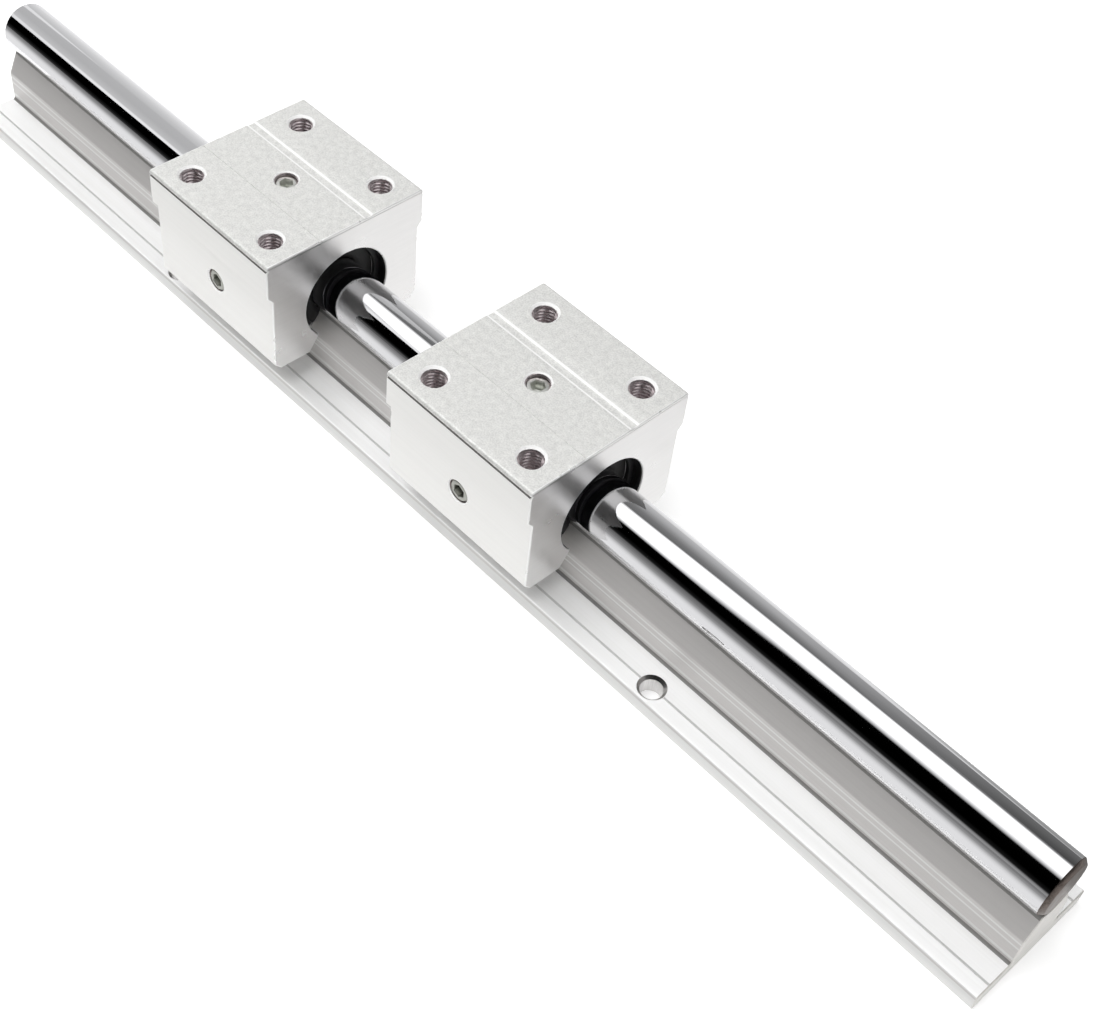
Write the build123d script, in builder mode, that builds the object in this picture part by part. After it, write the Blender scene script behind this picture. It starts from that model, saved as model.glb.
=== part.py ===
from build123d import *
import os
from math import cos, radians, sin, sqrt, tan

# Supported round rail with two open bearing blocks, in millimetres.
# X runs along the rail, Y across it, Z up; the origin is on the base face, under the middle of the rail.

# Support rail: an aluminium extrusion with a flat base, a web and a seat for the shaft
rail_length = 300.0
base_width = 30.0
base_thickness = 4.2
base_edge_radius = 0.6
web_width = 12.0
web_foot_radius = 0.5
web_straight_height = 7.3
seat_width = 6.6
shaft_height = 22.0
base_hole_pitch = 146.0
base_hole_edge_distance = 3.25
base_hole_diameter = 4.5
base_hole_rim_diameter = 6.0
guide_line_width = 0.5
guide_line_depth = 0.25

# Shaft: a hardened and chromed round bar held by screws from below
shaft_diameter = 12.0
shaft_end_chamfer = 0.8
shaft_seat_clearance = 0.02

# Shaft screws: socket cap screws in counterbores under the web
shaft_screw_pitch = 75.0
shaft_screw_diameter = 4.0
shaft_screw_head_diameter = 7.0
shaft_screw_head_height = 4.0
shaft_screw_socket_width = 3.0
shaft_screw_socket_depth = 2.0
shaft_screw_head_recess = 0.6
shaft_screw_grip = 5.0
shaft_screw_clearance_diameter = 4.5
counterbore_diameter = 8.0
tapped_hole_spare_depth = 1.0
thread_clearance = 0.02

# Bearing blocks: two lengths of one extruded aluminium profile
block_positions = {"1": -49.0, "2": 26.0}
block_length = 39.0
block_width = 40.0
block_top_above_shaft = 17.0
block_bottom_below_shaft = 11.0
block_top_chamfer = 0.7
block_bottom_chamfer = 1.5
block_band_height = 8.0
block_step_height = 1.5
block_step_depth = 1.2
bore_chamfer = 0.3
slot_half_angle = 45.0
slot_bottom_width = 19.6
block_hole_spacing_x = 26.0
block_hole_spacing_y = 28.0
block_hole_diameter = 4.2
block_hole_rim_diameter = 6.0
block_hole_depth = 10.0
hole_chamfer_angle = 90.0
top_groove_offset = 5.75
top_groove_width = 2.4
top_groove_floor_width = 1.4
top_groove_depth = 0.4
top_line_offset = 6.75
top_line_width = 0.4
top_line_depth = 0.15
side_line_drop = 1.05
side_line_width = 0.6
side_line_depth = 0.35

# Set screws: one from the top and one from the side of each block, with hexagon sockets
set_screw_diameter = 5.0
set_screw_rim_diameter = 5.6
top_screw_recess = 0.9
side_screw_recess = 0.3
set_screw_socket_width = 2.5
set_screw_socket_depth = 2.4
set_screw_tip_gap = 0.05
set_screw_end_chamfer = 0.4

# Open ball bushing: sleeve, cage, balls, end seals and retaining rings
sleeve_end_recess = 3.5
sleeve_wall = 2.04
sleeve_clearance = 0.02
bushing_half_angle = 40.0
ball_diameter = 2.4
ball_clearance = 0.02
ball_pitch = 2.7
balls_per_row = 7
ball_row_angles = [-18.0, 54.0, 126.0, 198.0]
cage_shaft_clearance = 0.35
cage_sleeve_clearance = 0.1
cage_end_gap = 0.1
cage_slot_clearance = 0.1
seal_thickness = 1.4
sleeve_rim = 1.0
seal_shaft_clearance = 0.1
seal_seat_clearance = 0.02
ring_thickness = 1.0
ring_side_clearance = 0.05
ring_height = 1.55
ring_groove_depth = 0.5
ring_groove_clearance = 0.05
ring_half_angle = 52.0

# Worked-out radii, heights and counts
shaft_radius = shaft_diameter / 2
seat_radius = shaft_radius + shaft_seat_clearance
ball_radius = ball_diameter / 2
ball_circle_radius = shaft_radius + ball_clearance + ball_radius
race_radius = ball_circle_radius + ball_radius + ball_clearance
sleeve_outer_radius = race_radius + sleeve_wall
bore_radius = sleeve_outer_radius + sleeve_clearance
seal_seat_radius = sleeve_outer_radius - sleeve_rim
seal_outer_radius = seal_seat_radius - seal_seat_clearance
ring_outer_radius = bore_radius + ring_groove_depth - ring_groove_clearance
ring_inner_radius = ring_outer_radius - ring_height
sleeve_length = block_length - 2 * sleeve_end_recess
base_hole_spacing = base_width - 2 * base_hole_edge_distance
base_hole_pairs = int(rail_length // base_hole_pitch)
shaft_screw_count = int(rail_length // shaft_screw_pitch)
counterbore_depth = shaft_screw_head_recess + shaft_screw_head_height
set_screw_hole_radius = set_screw_diameter / 2 + thread_clearance
block_top = shaft_height + block_top_above_shaft
block_bottom = shaft_height - block_bottom_below_shaft
lower_half_width = block_width / 2 - block_step_depth
cut_margin = 1.0

os.makedirs("parts", exist_ok=True)


def across(x):
    """Plane across the rail at x: its own x is the rail's Y and its own y is the rail's Z."""
    return Plane.YZ.offset(x)


def save(builder, name):
    """Label a finished piece and write it under its own name."""
    builder.part.label = name
    export_step(builder.part, f"parts/{name}.step")


def cut_opening(start_x, length, half_angle):
    """Cut the gap below the shaft, with both walls pointing at the shaft's axis."""
    reach = 2 * bore_radius
    half_width = reach * tan(radians(half_angle))
    with BuildSketch(across(start_x)) as wedge:
        with BuildLine():
            Polyline(
                (0, shaft_height),
                (-half_width, shaft_height - reach),
                (half_width, shaft_height - reach),
                close=True,
            )
        make_face()
    extrude(wedge.sketch, amount=length, mode=Mode.SUBTRACT)


def ring_solid(start_x, length, inner_radius, outer_radius):
    """Add a ring about the shaft's axis."""
    with BuildSketch(across(start_x)) as ring_face:
        with Locations((0, shaft_height)):
            Circle(outer_radius)
            Circle(inner_radius, mode=Mode.SUBTRACT)
    extrude(ring_face.sketch, amount=length)


def bore_cut(start_x, length, radius):
    """Cut a round bore about the shaft's axis."""
    with BuildSketch(across(start_x)) as bore_face:
        with Locations((0, shaft_height)):
            Circle(radius)
    extrude(bore_face.sketch, amount=length, mode=Mode.SUBTRACT)


# Support rail profile, one half drawn and mirrored
seat_half = seat_width / 2
seat_edge_height = shaft_height - sqrt(seat_radius**2 - seat_half**2)
seat_low_point = shaft_height - seat_radius
with BuildPart() as support_rail:
    with BuildSketch(across(-rail_length / 2)):
        with BuildLine():
            flank = Polyline(
                (0, 0),
                (base_width / 2, 0),
                (base_width / 2, base_thickness),
                (web_width / 2, base_thickness),
                (web_width / 2, base_thickness + web_straight_height),
                (seat_half, seat_edge_height),
            )
            seat = RadiusArc(flank @ 1, (0, seat_low_point), seat_radius)
            Line(seat @ 1, (0, 0))
        make_face()
        mirror(about=Plane.YZ)
    extrude(amount=rail_length)

    # Rounded base edges and the small radius at the foot of the web
    long_edges = support_rail.edges().filter_by(Axis.X)
    base_edges = [e for e in long_edges if abs(abs(e.center().Y) - base_width / 2) < base_edge_radius]
    fillet(base_edges, base_edge_radius)
    foot_edges = [
        e
        for e in support_rail.edges().filter_by(Axis.X)
        if abs(abs(e.center().Y) - web_width / 2) < web_foot_radius
        and abs(e.center().Z - base_thickness) < web_foot_radius
    ]
    fillet(foot_edges, web_foot_radius)

    # Fine V line along each flange, where its holes are drilled
    with BuildSketch(across(-rail_length / 2)):
        with BuildLine():
            Polyline(
                (base_hole_spacing / 2 - guide_line_width / 2, base_thickness),
                (base_hole_spacing / 2, base_thickness - guide_line_depth),
                (base_hole_spacing / 2 + guide_line_width / 2, base_thickness),
                close=True,
            )
        make_face()
        mirror(about=Plane.YZ)
    extrude(amount=rail_length, mode=Mode.SUBTRACT)

    # Mounting holes through the flanges
    with Locations(Plane.XY.offset(base_thickness)):
        with GridLocations(base_hole_pitch, base_hole_spacing, base_hole_pairs, 2):
            CounterSinkHole(
                base_hole_diameter / 2,
                base_hole_rim_diameter / 2,
                depth=base_thickness,
                counter_sink_angle=hole_chamfer_angle,
            )

    # Counterbored holes for the shaft screws, from below
    with Locations(Plane.XY.rotated((180, 0, 0))):
        with GridLocations(shaft_screw_pitch, 1, shaft_screw_count, 1):
            CounterBoreHole(
                shaft_screw_clearance_diameter / 2,
                counterbore_diameter / 2,
                counterbore_depth,
                depth=shaft_height,
            )
save(support_rail, "support_rail")

# Shaft, with its tapped holes on the underside
shaft_hole_depth = shaft_screw_grip + tapped_hole_spare_depth
with BuildPart() as shaft:
    with BuildSketch(across(-rail_length / 2)):
        with Locations((0, shaft_height)):
            Circle(shaft_radius)
    extrude(amount=rail_length)
    chamfer(shaft.edges().filter_by(GeomType.CIRCLE), shaft_end_chamfer)
    with BuildSketch(Plane.XY.offset(shaft_height - shaft_radius + shaft_hole_depth)):
        with GridLocations(shaft_screw_pitch, 1, shaft_screw_count, 1):
            Circle(shaft_screw_diameter / 2 + thread_clearance)
    extrude(amount=-shaft_hole_depth - cut_margin, mode=Mode.SUBTRACT)
save(shaft, "shaft")

# Shaft screws
screw_first_x = -shaft_screw_pitch * (shaft_screw_count - 1) / 2
shank_length = shaft_height - shaft_radius + shaft_screw_grip - counterbore_depth
for index in range(shaft_screw_count):
    screw_x = screw_first_x + index * shaft_screw_pitch
    head_plane = Plane((screw_x, 0, shaft_screw_head_recess))
    with BuildPart() as shaft_screw:
        with BuildSketch(head_plane):
            Circle(shaft_screw_head_diameter / 2)
        extrude(amount=shaft_screw_head_height)
        with BuildSketch(head_plane.offset(shaft_screw_head_height)):
            Circle(shaft_screw_diameter / 2)
        extrude(amount=shank_length)
        with BuildSketch(head_plane):
            RegularPolygon(shaft_screw_socket_width / 2, 6, major_radius=False)
        extrude(amount=shaft_screw_socket_depth, mode=Mode.SUBTRACT)
    save(shaft_screw, f"shaft_screw_{index + 1}")

# The two blocks are alike, each built in its place on the rail
for number, block_x in block_positions.items():
    block_start = block_x - block_length / 2
    sleeve_start = block_x - sleeve_length / 2
    band_bottom = block_top - block_band_height
    step_bottom = band_bottom - block_step_height
    groove_width = ring_thickness + 2 * ring_side_clearance

    # Housing: the extruded outline, then its bore and the gap for the web
    with BuildPart() as housing:
        with BuildSketch(across(block_start)):
            with BuildLine():
                Polyline(
                    (0, block_top),
                    (block_width / 2 - block_top_chamfer, block_top),
                    (block_width / 2, block_top - block_top_chamfer),
                    (block_width / 2, band_bottom),
                    (lower_half_width, step_bottom),
                    (lower_half_width, block_bottom + block_bottom_chamfer),
                    (lower_half_width - block_bottom_chamfer, block_bottom),
                    (0, block_bottom),
                    close=True,
                )
            make_face()
            mirror(about=Plane.YZ)
        extrude(amount=block_length)
        bore_cut(block_start, block_length, bore_radius)
        chamfer(housing.edges().filter_by(GeomType.CIRCLE), bore_chamfer)

        slot_top_half = bore_radius * sin(radians(slot_half_angle))
        slot_top = shaft_height - bore_radius * cos(radians(slot_half_angle))
        with BuildSketch(across(block_start)):
            with BuildLine():
                Polyline(
                    (-slot_top_half, slot_top),
                    (slot_top_half, slot_top),
                    (slot_bottom_width / 2, block_bottom),
                    (-slot_bottom_width / 2, block_bottom),
                    close=True,
                )
            make_face()
        extrude(amount=block_length, mode=Mode.SUBTRACT)

        # Grooves for the two retaining rings
        for groove_start in (sleeve_start - groove_width, sleeve_start + sleeve_length):
            bore_cut(groove_start, groove_width, bore_radius + ring_groove_depth)

        # Wide groove and fine line along the top
        groove_floor = block_top - top_groove_depth
        with BuildSketch(across(block_start)):
            with BuildLine():
                Polyline(
                    (top_groove_offset - top_groove_width / 2, block_top),
                    (top_groove_offset - top_groove_floor_width / 2, groove_floor),
                    (top_groove_offset + top_groove_floor_width / 2, groove_floor),
                    (top_groove_offset + top_groove_width / 2, block_top),
                    close=True,
                )
            make_face()
            with Locations((-top_line_offset, block_top)):
                Rectangle(top_line_width, 2 * top_line_depth)
        extrude(amount=block_length, mode=Mode.SUBTRACT)

        # Fine V line along each side, close under the top
        line_height = block_top - side_line_drop
        with BuildSketch(across(block_start)):
            with BuildLine():
                Polyline(
                    (block_width / 2, line_height + side_line_width / 2),
                    (block_width / 2 - side_line_depth, line_height),
                    (block_width / 2, line_height - side_line_width / 2),
                    close=True,
                )
            make_face()
            mirror(about=Plane.YZ)
        extrude(amount=block_length, mode=Mode.SUBTRACT)

        # Tapped mounting holes in the top face
        with Locations(Plane((block_x, 0, block_top))):
            with GridLocations(block_hole_spacing_x, block_hole_spacing_y, 2, 2):
                CounterSinkHole(
                    block_hole_diameter / 2,
                    block_hole_rim_diameter / 2,
                    depth=block_hole_depth,
                    counter_sink_angle=hole_chamfer_angle,
                )

        # Holes for the top and side set screws, through to the bore
        with Locations(Plane((block_x, 0, block_top))):
            CounterSinkHole(
                set_screw_hole_radius,
                set_screw_rim_diameter / 2,
                depth=block_top_above_shaft,
                counter_sink_angle=hole_chamfer_angle,
            )
        side_plane = Plane(origin=(block_x, -lower_half_width, shaft_height), z_dir=(0, -1, 0))
        with Locations(side_plane):
            CounterSinkHole(
                set_screw_hole_radius,
                set_screw_rim_diameter / 2,
                depth=lower_half_width,
                counter_sink_angle=hole_chamfer_angle,
            )
    save(housing, f"housing_{number}")

    # Sleeve, with a seat for a seal in each end
    seal_seat_depth = seal_thickness + seal_seat_clearance
    with BuildPart() as bearing_sleeve:
        ring_solid(sleeve_start, sleeve_length, race_radius, sleeve_outer_radius)
        for seat_start in (sleeve_start, sleeve_start + sleeve_length - seal_seat_depth):
            bore_cut(seat_start, seal_seat_depth, seal_seat_radius)
        cut_opening(sleeve_start, sleeve_length, bushing_half_angle)
    save(bearing_sleeve, f"bearing_sleeve_{number}")

    # Cage, with a slot over each row of balls
    cage_length = sleeve_length - 2 * (seal_seat_depth + cage_end_gap)
    cage_start = block_x - cage_length / 2
    slot_width = ball_diameter + 2 * cage_slot_clearance
    slot_length = (balls_per_row - 1) * ball_pitch + slot_width
    with BuildPart() as ball_cage:
        ring_solid(
            cage_start,
            cage_length,
            shaft_radius + cage_shaft_clearance,
            race_radius - cage_sleeve_clearance,
        )
        cut_opening(cage_start, cage_length, bushing_half_angle)
        for angle in ball_row_angles:
            outward = (0, cos(radians(angle)), sin(radians(angle)))
            row_plane = Plane(origin=(block_x, 0, shaft_height), x_dir=(1, 0, 0), z_dir=outward)
            with BuildSketch(row_plane):
                SlotOverall(slot_length, slot_width)
            extrude(amount=race_radius, mode=Mode.SUBTRACT)
    save(ball_cage, f"ball_cage_{number}")

    # Load rows of balls, each a cube with its edges cut so far that all 18 broad flats touch the true ball
    ball_edge_cut = ball_diameter * (1 - 1 / sqrt(2))
    with BuildPart() as balls:
        for angle in ball_row_angles:
            outward = (0, cos(radians(angle)), sin(radians(angle)))
            row_plane = Plane(origin=(block_x, 0, shaft_height), x_dir=(1, 0, 0), z_dir=outward)
            with Locations(row_plane.offset(ball_circle_radius)):
                with GridLocations(ball_pitch, 1, balls_per_row, 1):
                    Box(ball_diameter, ball_diameter, ball_diameter)
        chamfer(balls.edges(), ball_edge_cut)
    save(balls, f"balls_{number}")

    # End seals and retaining rings, one of each at both ends
    seal_starts = {"far": sleeve_start, "near": sleeve_start + sleeve_length - seal_thickness}
    for end, seal_start in seal_starts.items():
        with BuildPart() as end_seal:
            ring_solid(seal_start, seal_thickness, shaft_radius + seal_shaft_clearance, seal_outer_radius)
            cut_opening(seal_start, seal_thickness, bushing_half_angle)
        save(end_seal, f"end_seal_{number}_{end}")
    ring_starts = {
        "far": sleeve_start - ring_side_clearance - ring_thickness,
        "near": sleeve_start + sleeve_length + ring_side_clearance,
    }
    for end, ring_start in ring_starts.items():
        with BuildPart() as retaining_ring:
            ring_solid(ring_start, ring_thickness, ring_inner_radius, ring_outer_radius)
            cut_opening(ring_start, ring_thickness, ring_half_angle)
        save(retaining_ring, f"retaining_ring_{number}_{end}")

    # Set screws, each with its tip on the sleeve
    top_plane = Plane((block_x, 0, block_top - top_screw_recess))
    top_length = block_top_above_shaft - top_screw_recess - bore_radius - set_screw_tip_gap
    side_face = Plane(origin=(block_x, -lower_half_width + side_screw_recess, shaft_height), z_dir=(0, -1, 0))
    side_length = lower_half_width - side_screw_recess - bore_radius - set_screw_tip_gap
    for side, face, length in (("top", top_plane, top_length), ("side", side_face, side_length)):
        with BuildPart() as set_screw:
            with BuildSketch(face):
                Circle(set_screw_diameter / 2)
            extrude(amount=-length)
            chamfer(set_screw.edges().filter_by(GeomType.CIRCLE), set_screw_end_chamfer)
            with BuildSketch(face):
                RegularPolygon(set_screw_socket_width / 2, 6, major_radius=False)
            extrude(amount=-set_screw_socket_depth, mode=Mode.SUBTRACT)
        save(set_screw, f"{side}_screw_{number}")
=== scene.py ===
"""A supported round rail with two open bearing blocks, dressed and set in a small white studio."""
import logging
import math
from dataclasses import dataclass
from enum import Enum
from typing import Callable, Sequence

import bmesh
import bpy
import numpy as np
from mathutils import Matrix


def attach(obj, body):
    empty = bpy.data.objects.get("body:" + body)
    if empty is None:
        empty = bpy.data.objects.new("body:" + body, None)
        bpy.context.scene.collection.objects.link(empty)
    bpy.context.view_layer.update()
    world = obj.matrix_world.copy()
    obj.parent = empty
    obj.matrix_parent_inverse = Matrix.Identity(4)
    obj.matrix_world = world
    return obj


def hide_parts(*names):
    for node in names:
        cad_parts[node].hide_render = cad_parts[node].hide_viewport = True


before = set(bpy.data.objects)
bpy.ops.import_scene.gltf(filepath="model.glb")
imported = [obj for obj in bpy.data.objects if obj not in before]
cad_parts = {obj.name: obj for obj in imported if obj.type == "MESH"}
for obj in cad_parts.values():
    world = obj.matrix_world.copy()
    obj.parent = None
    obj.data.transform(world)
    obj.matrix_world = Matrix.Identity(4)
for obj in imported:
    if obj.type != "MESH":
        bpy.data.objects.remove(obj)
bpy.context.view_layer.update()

LOG = logging.getLogger("rail")
MM = 0.001
BLOCK_MIDDLES = (-49.0, 26.0)
MERGE_DISTANCE = 1e-6
SHARP_ANGLE = math.radians(38)
# How near a point of an outline counts as the same point, the same line and the same face, in millimetres,
# and an angle as the same angle, in radians
SAME_POINT = 0.001
SAME_LINE = 0.01
SAME_FACE = 0.05
SAME_ANGLE = 0.004
X_AXIS = (1.0, 0.0, 0.0)
Y_AXIS = (0.0, 1.0, 0.0)
Z_AXIS = (0.0, 0.0, 1.0)
DOWN = (0.0, 0.0, -1.0)
FORWARD = (0.0, -1.0, 0.0)
Colour = tuple[float, float, float]
Vector3 = tuple[float, float, float]
Corner = tuple[float, float, float]
Stops = tuple[tuple[float, float], ...]
Socket = bpy.types.NodeSocket


class End(Enum):
    """The two ends of a block or of the rail, along x."""
    FAR = -1
    NEAR = 1


class Flank(Enum):
    """The two sides of the rail, along y."""
    FRONT = -1
    BACK = 1


class NodeGraph:
    """Adds, sets and wires the nodes of one material or world."""

    def __init__(self, owner: bpy.types.ID, clear: bool = False) -> None:
        """Keep the owner's node tree and its shader.

        Args:
            owner: the material or world to dress.
            clear: whether its first nodes are taken out.
        """
        owner.use_nodes = True
        self.tree = owner.node_tree
        if clear:
            self.tree.nodes.clear()
        self.shader = self.tree.nodes.get("Principled BSDF")

    def put(self, node: bpy.types.Node, inputs: dict) -> None:
        """Give sockets of a node their values.

        Args:
            node: the node.
            inputs: a number, colour or other node's output for each socket.
        """
        for key, value in inputs.items():
            if isinstance(value, Socket):
                self.tree.links.new(value, node.inputs[key])
            else:
                node.inputs[key].default_value = value

    def add(self, kind: str, settings: dict | None = None, inputs: dict | None = None) -> bpy.types.Node:
        """Add one node.

        Args:
            kind: the node's type name.
            settings: its properties.
            inputs: a number, colour or other node's output for each of its sockets.

        Returns:
            The new node.
        """
        node = self.tree.nodes.new(kind)
        for key, value in (settings or {}).items():
            setattr(node, key, value)
        self.put(node, inputs or {})
        return node

    def millimetres(self, stretch: Vector3 = (1, 1, 1)) -> Socket:
        """Object coordinates in millimetres.

        Args:
            stretch: a factor for each axis, under 1 to draw the pattern out along it.

        Returns:
            The vector output.
        """
        place = self.add("ShaderNodeTexCoord").outputs["Object"]
        scale = tuple(factor / MM for factor in stretch)
        return self.add("ShaderNodeMapping", inputs={"Vector": place, "Scale": scale}).outputs["Vector"]

    def noise(self, vector: Socket, size: float, detail: float = 2) -> Socket:
        """Noise whose patches are about the given size.

        Args:
            vector: where it is read, in millimetres.
            size: the size of a patch in millimetres.
            detail: the number of finer layers.

        Returns:
            The noise from 0 to 1.
        """
        inputs = {"Vector": vector, "Scale": 1 / size, "Detail": detail}
        return self.add("ShaderNodeTexNoise", inputs=inputs).outputs["Fac"]

    def spread(self, value: Socket, low: float, high: float, start: float = 0.3, stop: float = 0.7) -> Socket:
        """Carry a value from one range to another, held at its ends.

        Args:
            value: the value to carry over.
            low: the result at start.
            high: the result at stop.
            start: the value that gives low.
            stop: the value that gives high.

        Returns:
            The new value.
        """
        inputs = {"Value": value, "From Min": start, "From Max": stop, "To Min": low, "To Max": high}
        return self.add("ShaderNodeMapRange", inputs=inputs).outputs["Result"]

    def blend(self, share: Socket, first: Colour, second: Colour) -> Socket:
        """Mix two colours.

        Args:
            share: how much of the second colour.
            first: a colour.
            second: a colour.

        Returns:
            The mixed colour.
        """
        inputs = {0: share, 6: (*first, 1), 7: (*second, 1)}
        return self.add("ShaderNodeMix", {"data_type": "RGBA"}, inputs).outputs[2]

    def join(self, kind: str, first: Socket, second: Socket) -> Socket:
        """Join two values with a maths node.

        Args:
            kind: the name of its operation.
            first: a value.
            second: a value.

        Returns:
            The result.
        """
        return self.add("ShaderNodeMath", {"operation": kind}, {0: first, 1: second}).outputs[0]

    def ramp(self, place: Socket, stops: Stops) -> Socket:
        """Add a ramp of greys.

        Args:
            place: where the ramp is read.
            stops: the place and the grey of each stop.

        Returns:
            The grey.
        """
        node = self.add("ShaderNodeValToRGB", inputs={"Fac": place})
        elements = node.color_ramp.elements
        while len(elements) < len(stops):
            elements.new(0.5)
        for element, (at, value) in zip(elements, stops):
            element.position = at
            element.color = (value, value, value, 1)
        return node.outputs["Color"]

    def relief(self, height: Socket, depth: float) -> None:
        """Give the surface a fine relief.

        Args:
            height: the relief from 0 to 1.
            depth: the height of the relief in millimetres.
        """
        bump = self.add("ShaderNodeBump", inputs={"Height": height, "Distance": depth * MM, "Strength": 1.0})
        self.put(self.shader, {"Normal": bump.outputs["Normal"]})


def shade(colour: Colour, factor: float) -> Colour:
    """The colour made lighter or darker by a factor."""
    return tuple(min(1.0, part * factor) for part in colour)


def hang(name: str, data: bpy.types.ID) -> bpy.types.Object:
    """Put a mesh, lamp or camera into the scene as a new object.

    Args:
        name: the object's name.
        data: what it shows.

    Returns:
        The object.
    """
    obj = bpy.data.objects.new(name, data)
    bpy.context.scene.collection.objects.link(obj)
    return obj


@dataclass(frozen=True)
class Finish:
    """What a surface is made of and how it was finished."""
    name: str
    base: Colour
    metal: float
    rough: float
    contrast: float = 0.1

    def material(self) -> bpy.types.Material:
        """The Blender material of this finish, made when first asked for.

        Returns:
            The material.
        """
        made = bpy.data.materials.get(self.name)
        if made:
            return made
        made = bpy.data.materials.new(self.name)
        made.diffuse_color = (*self.base, 1)
        graph = NodeGraph(made)
        inputs = {"Base Color": (*self.base, 1), "Metallic": self.metal, "Roughness": self.rough}
        graph.put(graph.shader, inputs)
        self.dress(graph)
        return made

    def tint(self, graph: NodeGraph, share: Socket) -> None:
        """Let the base colour swing by the contrast.

        Args:
            graph: the material's nodes.
            share: the swing from 0, dark, to 1, light.
        """
        dark, light = shade(self.base, 1 - self.contrast), shade(self.base, 1 + self.contrast)
        graph.put(graph.shader, {"Base Color": graph.blend(share, dark, light)})

    def mottle(self, graph: NodeGraph, fine: Socket, coarse: Socket) -> None:
        """Let the base colour swing with two patterns.

        Args:
            graph: the material's nodes.
            fine: the fine pattern, from 0 to its share of the swing.
            coarse: the coarse pattern, from 0 to the rest of it.
        """
        self.tint(graph, graph.join("ADD", fine, coarse))

    def gloss(self, graph: NodeGraph, noise: Socket, low: float, high: float) -> None:
        """Let the roughness swing with a noise.

        Args:
            graph: the material's nodes.
            noise: the noise.
            low: what is added to the roughness where the noise is low.
            high: what is added to it where the noise is high.
        """
        graph.put(graph.shader, {"Roughness": graph.spread(noise, self.rough + low, self.rough + high)})

    def dress(self, graph: NodeGraph) -> None:
        """Add the pattern of the finish, which a plain one has none of."""


@dataclass(frozen=True)
class Blasted(Finish):
    """A bead-blasted surface: fine pits all over and soft cloudy patches."""
    pit_size: float = 0.32
    pit_depth: float = 0.035
    cloud_size: float = 1.3

    def dress(self, graph: NodeGraph) -> None:
        """Pits in the relief and the colour, clouds in the colour.

        Args:
            graph: the material's nodes.
        """
        place = graph.millimetres()
        pits = graph.noise(place, self.pit_size, 3)
        clouds = graph.noise(place, self.cloud_size, 3)
        self.mottle(graph, graph.spread(pits, 0.0, 0.55, 0.36, 0.64), graph.spread(clouds, 0.0, 0.45))
        self.gloss(graph, pits, 0.08, -0.05)
        graph.relief(pits, self.pit_depth)


@dataclass(frozen=True)
class Drawn(Finish):
    """An extruded or drawn surface: lines along x left by the die, and faint long stains."""
    line_size: float = 0.45
    line_depth: float = 0.006
    stain_size: float = 9.0
    stain_draw: float = 0.15
    draw_out: float = 0.006

    def dress(self, graph: NodeGraph) -> None:
        """Lines in the relief, lines and stains in the colour.

        Args:
            graph: the material's nodes.
        """
        along = graph.millimetres((self.draw_out, 1, 1))
        lines = graph.noise(along, self.line_size, 4)
        stains = graph.noise(graph.millimetres((self.stain_draw, 1, 1)), self.stain_size, 3)
        self.mottle(graph, graph.spread(lines, 0.0, 0.55), graph.spread(stains, 0.0, 0.45))
        self.gloss(graph, stains, -0.05, 0.07)
        graph.relief(lines, self.line_depth)


@dataclass(frozen=True)
class Sawn(Finish):
    """A sawn and deburred end: fine strokes across it, slightly cloudy."""
    stroke_size: float = 0.22
    stroke_depth: float = 0.008
    cloud_size: float = 5.0

    def dress(self, graph: NodeGraph) -> None:
        """Strokes in the relief, strokes and clouds in the colour and the gloss.

        Args:
            graph: the material's nodes.
        """
        strokes = graph.noise(graph.millimetres((1, 0.05, 1)), self.stroke_size, 3)
        clouds = graph.noise(graph.millimetres(), self.cloud_size, 2)
        self.mottle(graph, graph.spread(strokes, 0.0, 0.5), graph.spread(clouds, 0.0, 0.5))
        self.gloss(graph, clouds, -0.05, 0.06)
        graph.relief(strokes, self.stroke_depth)


@dataclass(frozen=True)
class Turned(Finish):
    """A bored or turned surface: fine rings, one per pass of the tool along x."""
    ring_size: float = 0.12
    ring_depth: float = 0.006

    def dress(self, graph: NodeGraph) -> None:
        """Rings in the relief and the colour.

        Args:
            graph: the material's nodes.
        """
        rings = graph.noise(graph.millimetres((1, 0.02, 0.02)), self.ring_size, 2)
        self.tint(graph, graph.spread(rings, 0.0, 1.0))
        graph.relief(rings, self.ring_depth)


@dataclass(frozen=True)
class Ground(Finish):
    """Hard chrome, ground and polished: almost a mirror, with the faintest haze."""
    haze_size: float = 14.0

    def dress(self, graph: NodeGraph) -> None:
        """Haze in the gloss and the colour.

        Args:
            graph: the material's nodes.
        """
        haze = graph.noise(graph.millimetres((0.4, 1, 1)), self.haze_size, 3)
        self.gloss(graph, haze, -0.3 * self.rough, 0.4 * self.rough)
        self.tint(graph, haze)


@dataclass(frozen=True)
class Moulded(Finish):
    """Moulded plastic or rubber: a fine dull grain."""
    grain_size: float = 0.15
    grain_depth: float = 0.01

    def dress(self, graph: NodeGraph) -> None:
        """Grain in the relief, the colour and the gloss.

        Args:
            graph: the material's nodes.
        """
        grain = graph.noise(graph.millimetres(), self.grain_size, 3)
        self.tint(graph, grain)
        self.gloss(graph, grain, -0.06, 0.06)
        graph.relief(grain, self.grain_depth)


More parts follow.
